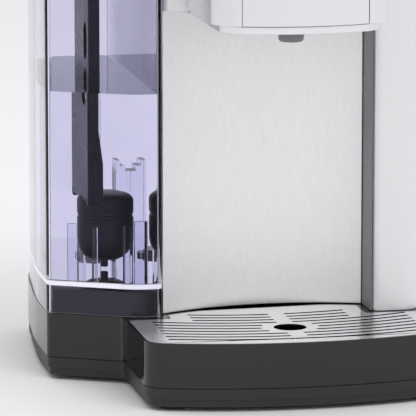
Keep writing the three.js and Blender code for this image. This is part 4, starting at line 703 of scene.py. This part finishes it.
lens_milk, lens_shader = new_material("lens_milk", Transmission_Weight=0.3, Roughness=0.3)
lens_touch = use_effect(lens_milk, handling, Scale=60.0)
two_tones(
    lens_milk, lens_touch.outputs["Mask"], (0.85, 0.88, 0.9), (0.72, 0.75, 0.78),
    lens_shader.inputs["Base Color"],
)
softened("status_lens", "status_window", lens_milk, 0.0004)


# ---- Tank ----
# A clear moulding with a violet tint and a dark lid on a steel pin. It stands over a plinth on the base,
# and its skirt hides the plinth. The floor's edge is a painted highlight: a near-white band that glows
# faintly, standing in for the light caught in the clear floor's edge.
def clear_material(name, tint, handled_tint, rough, handled_rough, index):
    """Clear stuff: fine scratches, water marks that haze it, and a tint."""
    material, shader = new_material(
        name, Transmission_Weight=1.0, IOR=index, Metallic=0.0, Specular_Tint=(0.22, 0.22, 0.26, 1)
    )
    marks = use_effect(material, handling, Scale=18.0)
    rough_skin(material, shader, 240, 0.000004, (1, 1, 0.3))
    two_tones(material, marks.outputs["Mask"], tint, handled_tint, shader.inputs["Base Color"])
    two_tones(material, marks.outputs["Mask"], rough, handled_rough, shader.inputs["Roughness"])
    return material


clear_plastic = clear_material("clear_plastic", (0.86, 0.85, 0.95), (0.82, 0.81, 0.92), 0.01, 0.03, 1.45)
softened("tank_shell", "tank_body", clear_plastic, 0.0005)

water = clear_material("water", (0.95, 0.95, 0.99), (0.94, 0.94, 0.985), 0.0, 0.004, 1.1)
tank_low, tank_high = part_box("tank_shell")
TANK_SETBACK = 0.008  # from the back of the base to the back of the tank
FRONT_RAKE = 0.0277  # how far the front's left end lies further back
FLAT_FRONT = 0.0178  # the part of the front that is square to the machine
SIDE_TAPER = 0.018  # how far the left side has come in at its back
TAPER_LENGTH = 0.118
SIDE_KNEE = 0.007  # the same at a place partway
KNEE_LENGTH = 0.044
TANK_WALL = 0.0025
TANK_BACK = base_high.y - TANK_SETBACK
TANK_OUTLINE = [
    (tank_high.x - FLAT_FRONT, tank_low.y, 0.03), (tank_high.x, tank_low.y, 0.004),
    (tank_high.x, TANK_BACK, 0.008), (tank_low.x + SIDE_TAPER, TANK_BACK, 0.02),
    (tank_low.x + SIDE_KNEE, TANK_BACK - KNEE_LENGTH, 0.09),
    (tank_low.x, TANK_BACK - TAPER_LENGTH, 0.25), (tank_low.x, tank_low.y + FRONT_RAKE, 0.006),
]


def tank_section(gap, z):
    """A flat face over the tank's outline, smaller by the gap all round."""
    section = traced(TANK_OUTLINE, z)
    edit(section)
    bpy.ops.mesh.select_all(action="SELECT")
    bpy.ops.mesh.inset(thickness=gap)
    bpy.ops.mesh.select_all(action="INVERT")
    bpy.ops.mesh.delete(type="FACE")
    bpy.ops.object.mode_set(mode="OBJECT")
    return section


WATER_BOTTOM = 0.0647
WATER_LEVEL = 0.1853
WATER_GAP = 0.0002
fill = raised(tank_section(TANK_WALL + WATER_GAP, WATER_BOTTOM), WATER_LEVEL - WATER_BOTTOM)
edit(fill)
pick(fill, lambda face: abs(face.normal.z) > 0.9)
bpy.ops.mesh.inset(thickness=0.0008)
bpy.ops.object.mode_set(mode="OBJECT")
finish(fill, "water_fill", "tank", water, smooth=10)
water_shader = water.node_tree.nodes["Principled BSDF"]
water_tint = water_shader.inputs["Base Color"].links[0].from_socket
# Painted shade: the water's top face is tinted dark grey-violet, for the dim band that the surface shows
# through the tank wall.
facing = node(water, "NewGeometry")
upward = node(water, "SeparateXYZ")
top_face_shade = node(water, "MapRange", {"From Min": 0.6, "From Max": 0.9})
top_shade_tint = node(water, "Mix", {"B": (0.17, 0.17, 0.22, 1)}, data_type="RGBA")
link(water, facing.outputs["Normal"], upward.inputs["Vector"])
link(water, upward.outputs["Z"], top_face_shade.inputs["Value"])
link(water, top_face_shade.outputs["Result"], top_shade_tint.inputs["Factor"])
link(water, water_tint, top_shade_tint.inputs["A"])
link(water, top_shade_tint.outputs["Result"], water_shader.inputs["Base Color"])

# Painted highlight and glow: the band is near white and lit from within (emission), for the light that the
# clear floor's edge gathers.
painted_glow, painted_glow_shader = new_material("painted_glow_edge", Roughness=0.5, Emission_Strength=0.4)
glow_marks = use_effect(painted_glow, handling, Scale=30.0)
painted_glow_tint = two_tones(
    painted_glow, glow_marks.outputs["Mask"], (0.98, 0.98, 1.0), (0.88, 0.88, 0.94),
    painted_glow_shader.inputs["Base Color"],
)
link(painted_glow, painted_glow_tint.outputs["Result"], painted_glow_shader.inputs["Emission Color"])
RIM_BOTTOM = 0.0613
RIM_HEIGHT = 0.0029
RIM_GAP = 0.0003
edge_band = raised(tank_section(RIM_GAP, RIM_BOTTOM), RIM_HEIGHT)
edit(edge_band)
pick(edge_band, lambda face: abs(face.normal.z) > 0.9)
bpy.ops.mesh.inset(thickness=0.0022)
bpy.ops.mesh.delete(type="FACE")
bpy.ops.mesh.select_all(action="DESELECT")
bpy.ops.mesh.select_mode(type="EDGE")
bpy.ops.mesh.select_non_manifold()
bpy.ops.mesh.bridge_edge_loops()
bpy.ops.mesh.select_all(action="SELECT")
bpy.ops.mesh.normals_make_consistent(inside=False)
bpy.ops.object.mode_set(mode="OBJECT")
finish(edge_band, "tank_floor_edge", "tank", painted_glow)

navy_plastic = moulded(
    "navy_plastic", (0.003, 0.0045, 0.013), (0.02, 0.024, 0.045), 0.26, 0.36, 700, 0.000006,
    Specular_IOR_Level=0.22,
)
softened("tank_lid", "tank_lid_moulding", navy_plastic, 0.0009, 3)
softened("lid_hinge_pin", "lid_pin", screw_steel, 0.0003)


# ---- Filter ----
# A dark holder drops into the clear fins on the tank floor. Its bowl twists off downwards for the
# cartridge, and two rails with a bar across them reach up as a handle.
bowl_low, bowl_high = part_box("filter_bowl")
holder_low, holder_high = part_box("filter_holder")
FILTER_X, FILTER_Y = (bowl_low.x + bowl_high.x) / 2, (bowl_low.y + bowl_high.y) / 2
r = 0.0176
foot_z = bowl_low.z + 0.005
bowl = turned_piece(
    [
        (0.0014, bowl_low.z), (0.002, bowl_low.z), (0.0024, bowl_low.z + 0.0005), (0.0024, foot_z),
        (0.006, foot_z + 0.0001), (0.0096, foot_z + 0.0006), (0.0125, foot_z + 0.002),
        (0.0144, foot_z + 0.0036),
        (0.0159, foot_z + 0.0058), (0.0168, foot_z + 0.0082), (0.0174, foot_z + 0.0112), (r, foot_z + 0.0142),
        (r, bowl_high.z - 0.004), (r, bowl_high.z - 0.0034), (r - 0.0006, bowl_high.z - 0.003),
        (r - 0.0006, bowl_high.z - 0.001), (r, bowl_high.z - 0.0006), (r, bowl_high.z),
        (0.016, bowl_high.z), (0.016, foot_z + 0.014), (0.0128, foot_z + 0.006), (0.0086, foot_z + 0.0026),
        (0.0014, foot_z + 0.002),
    ],
    FILTER_X, FILTER_Y,
)
apply(bowl, "BEVEL", width=0.0002, segments=2, limit_method="ANGLE", angle_limit=math.radians(40))
finish(bowl, "filter_bowl_moulding", "tank", navy_plastic, ["filter_bowl"])

DOME_TOP = foot_z + 0.044
low_z = holder_low.z
dome = turned_piece(
    [
        (r, low_z), (r, DOME_TOP - 0.0052), (r - 0.0006, DOME_TOP - 0.0036), (r - 0.0018, DOME_TOP - 0.0022),
        (r - 0.0036, DOME_TOP - 0.0011), (r - 0.006, DOME_TOP - 0.0005), (r - 0.009, DOME_TOP), (0, DOME_TOP),
        (0, DOME_TOP - 0.0016), (r - 0.008, DOME_TOP - 0.0016), (r - 0.0036, DOME_TOP - 0.003),
        (r - 0.0016, DOME_TOP - 0.006), (r - 0.0016, low_z),
    ],
    FILTER_X, FILTER_Y,
)
rail_left = FILTER_X - 0.0154
rail_right = rail_left + 0.0074


def bar_between(x0, y0, z0, x1, y1, z1, rounding=0.0008):
    """A bar between two corners, made from a cube, with rounded edges."""
    bpy.ops.mesh.primitive_cube_add(size=1, location=((x0 + x1) / 2, (y0 + y1) / 2, (z0 + z1) / 2))
    made = bpy.context.object
    edit(made)
    bpy.ops.mesh.select_all(action="SELECT")
    bpy.ops.transform.resize(value=(x1 - x0, y1 - y0, z1 - z0))
    bpy.ops.object.mode_set(mode="OBJECT")
    only(made)
    bpy.ops.object.transform_apply(location=True, rotation=True, scale=True)
    if rounding:
        apply(made, "BEVEL", width=rounding, segments=3)
    return made


rail_front_y = FILTER_Y - 0.0235
rails = [
    bar_between(rail_left, y, DOME_TOP - 0.006, rail_right, y + 0.0055, holder_high.z)
    for y in (rail_front_y, holder_high.y - 0.0055)
]
foot_bar = bar_between(rail_left, rail_front_y, DOME_TOP - 0.004, rail_right, holder_high.y, DOME_TOP)
grip = bar_between(
    rail_left, rail_front_y, holder_high.z - 0.008, rail_right, holder_high.y, holder_high.z, 0.0014
)
rib = bar_between(
    rail_left + 0.0031, rail_front_y - 0.0006, DOME_TOP, rail_left + 0.0043, rail_front_y + 0.001,
    holder_high.z - 0.006, 0.0003,
)
web = bar_between(
    rail_left, rail_front_y + 0.001, DOME_TOP - 0.001, rail_left + 0.0022, holder_high.y - 0.001,
    holder_high.z - 0.001, 0.0003,
)
tank_top = holder_high.z + 0.008
for low, high in ((tank_top - 0.123, tank_top - 0.1), (tank_top - 0.094, tank_top - 0.07)):
    y = rail_front_y + 0.012
    hole = bar_between(rail_left - 0.009, y - 0.006, low, rail_left + 0.009, y + 0.006, high, 0)
    apply(hole, "BEVEL", width=0.00595, segments=8, affect="EDGES", limit_method="NONE")
    cut_away(web, hole)
gusset = bar_between(
    rail_right - 0.001, rail_front_y, DOME_TOP - 0.008, rail_right + 0.0028, rail_front_y + 0.0055,
    DOME_TOP + 0.049, 0,
)
edit(gusset, "EDGE")
pick(gusset, lambda e: all(v.co.x > rail_right and v.co.z > DOME_TOP + 0.04 for v in e.verts))
bpy.ops.transform.translate(value=(0, 0, -0.028))
bpy.ops.object.mode_set(mode="OBJECT")
apply(gusset, "BEVEL", width=0.0007, segments=2)
holder = joined(dome, *rails, foot_bar, grip, rib, web, gusset)
finish(holder, "filter_holder_moulding", "tank", navy_plastic, ["filter_holder"])


# ---- Back ----
# A matt black cover with air slots closes the back. The mains inlet and the power switch stand in it, and
# two screws hold it.
softened("rear_cover", "rear_cover_moulding", matt_black, 0.0005)
softened("mains_inlet", "mains_inlet_moulding", matt_black, 0.0005)
softened("switch_housing", "switch_frame", matt_black, 0.0004)
drive_screws(["rear_screw_lower", "rear_screw_upper"], (0, 1, 0), screw_steel)
brass = metal("brass", (0.72, 0.54, 0.26), (0.55, 0.4, 0.18), 0.25, 0.4, 400, 0.00002, (1, 1, 8))
for pole in ("line", "neutral", "earth"):
    softened("inlet_pin_" + pole, "inlet_blade_" + pole, brass, 0.0003)

softened("power_rocker", "rocker_switch", gloss_black, 0.0006, 3)


# ---- Inside ----
# The boiler, pump, hoses, boards and tank valve sit behind the covers, and show only when a cover or the
# tank is off.
white_plastic = moulded("white_plastic", (0.75, 0.75, 0.74), (0.85, 0.85, 0.85), 0.36, 0.46, 1200, 0.00002)
silicone = moulded("silicone", (0.6, 0.6, 0.57), (0.72, 0.72, 0.7), 0.45, 0.55, 900, 0.00003)
boiler_steel = metal(
    "boiler_steel", (0.6, 0.6, 0.61), (0.48, 0.47, 0.46), 0.28, 0.42, 300, 0.00003, (1, 1, 12)
)
board_green, board_shader = new_material("board_green", Roughness=0.38, Coat_Weight=0.3)
spot = node(board_green, "TexCoord")
tracks = node(board_green, "TexBrick", {"Scale": 160.0, "Mortar Size": 0.03})
tracks.inputs["Color1"].default_value = (0.01, 0.075, 0.03, 1)
tracks.inputs["Color2"].default_value = (0.012, 0.09, 0.036, 1)
tracks.inputs["Mortar"].default_value = (0.03, 0.17, 0.07, 1)
link(board_green, spot.outputs["Object"], tracks.inputs["Vector"])
link(board_green, tracks.outputs["Color"], board_shader.inputs["Base Color"])


def dressed(material, *sources):
    """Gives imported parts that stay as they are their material."""
    for source in sources:
        for place in cad[source].material_slots:
            place.material = material


dressed(matt_black, "tank_socket", "pump")
dressed(boiler_steel, "boiler", "boiler_lid", "heating_element")
dressed(white_plastic, "thermostat", "filter_cartridge", "tank_valve", "valve_plunger", "valve_cap")
dressed(silicone, "suction_hose", "feed_hose", "outlet_hose", "valve_seal")
dressed(board_green, "power_board", "control_board")

spring = softened("valve_spring", "valve_coil", screw_steel, 0.0001)
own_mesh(spring)
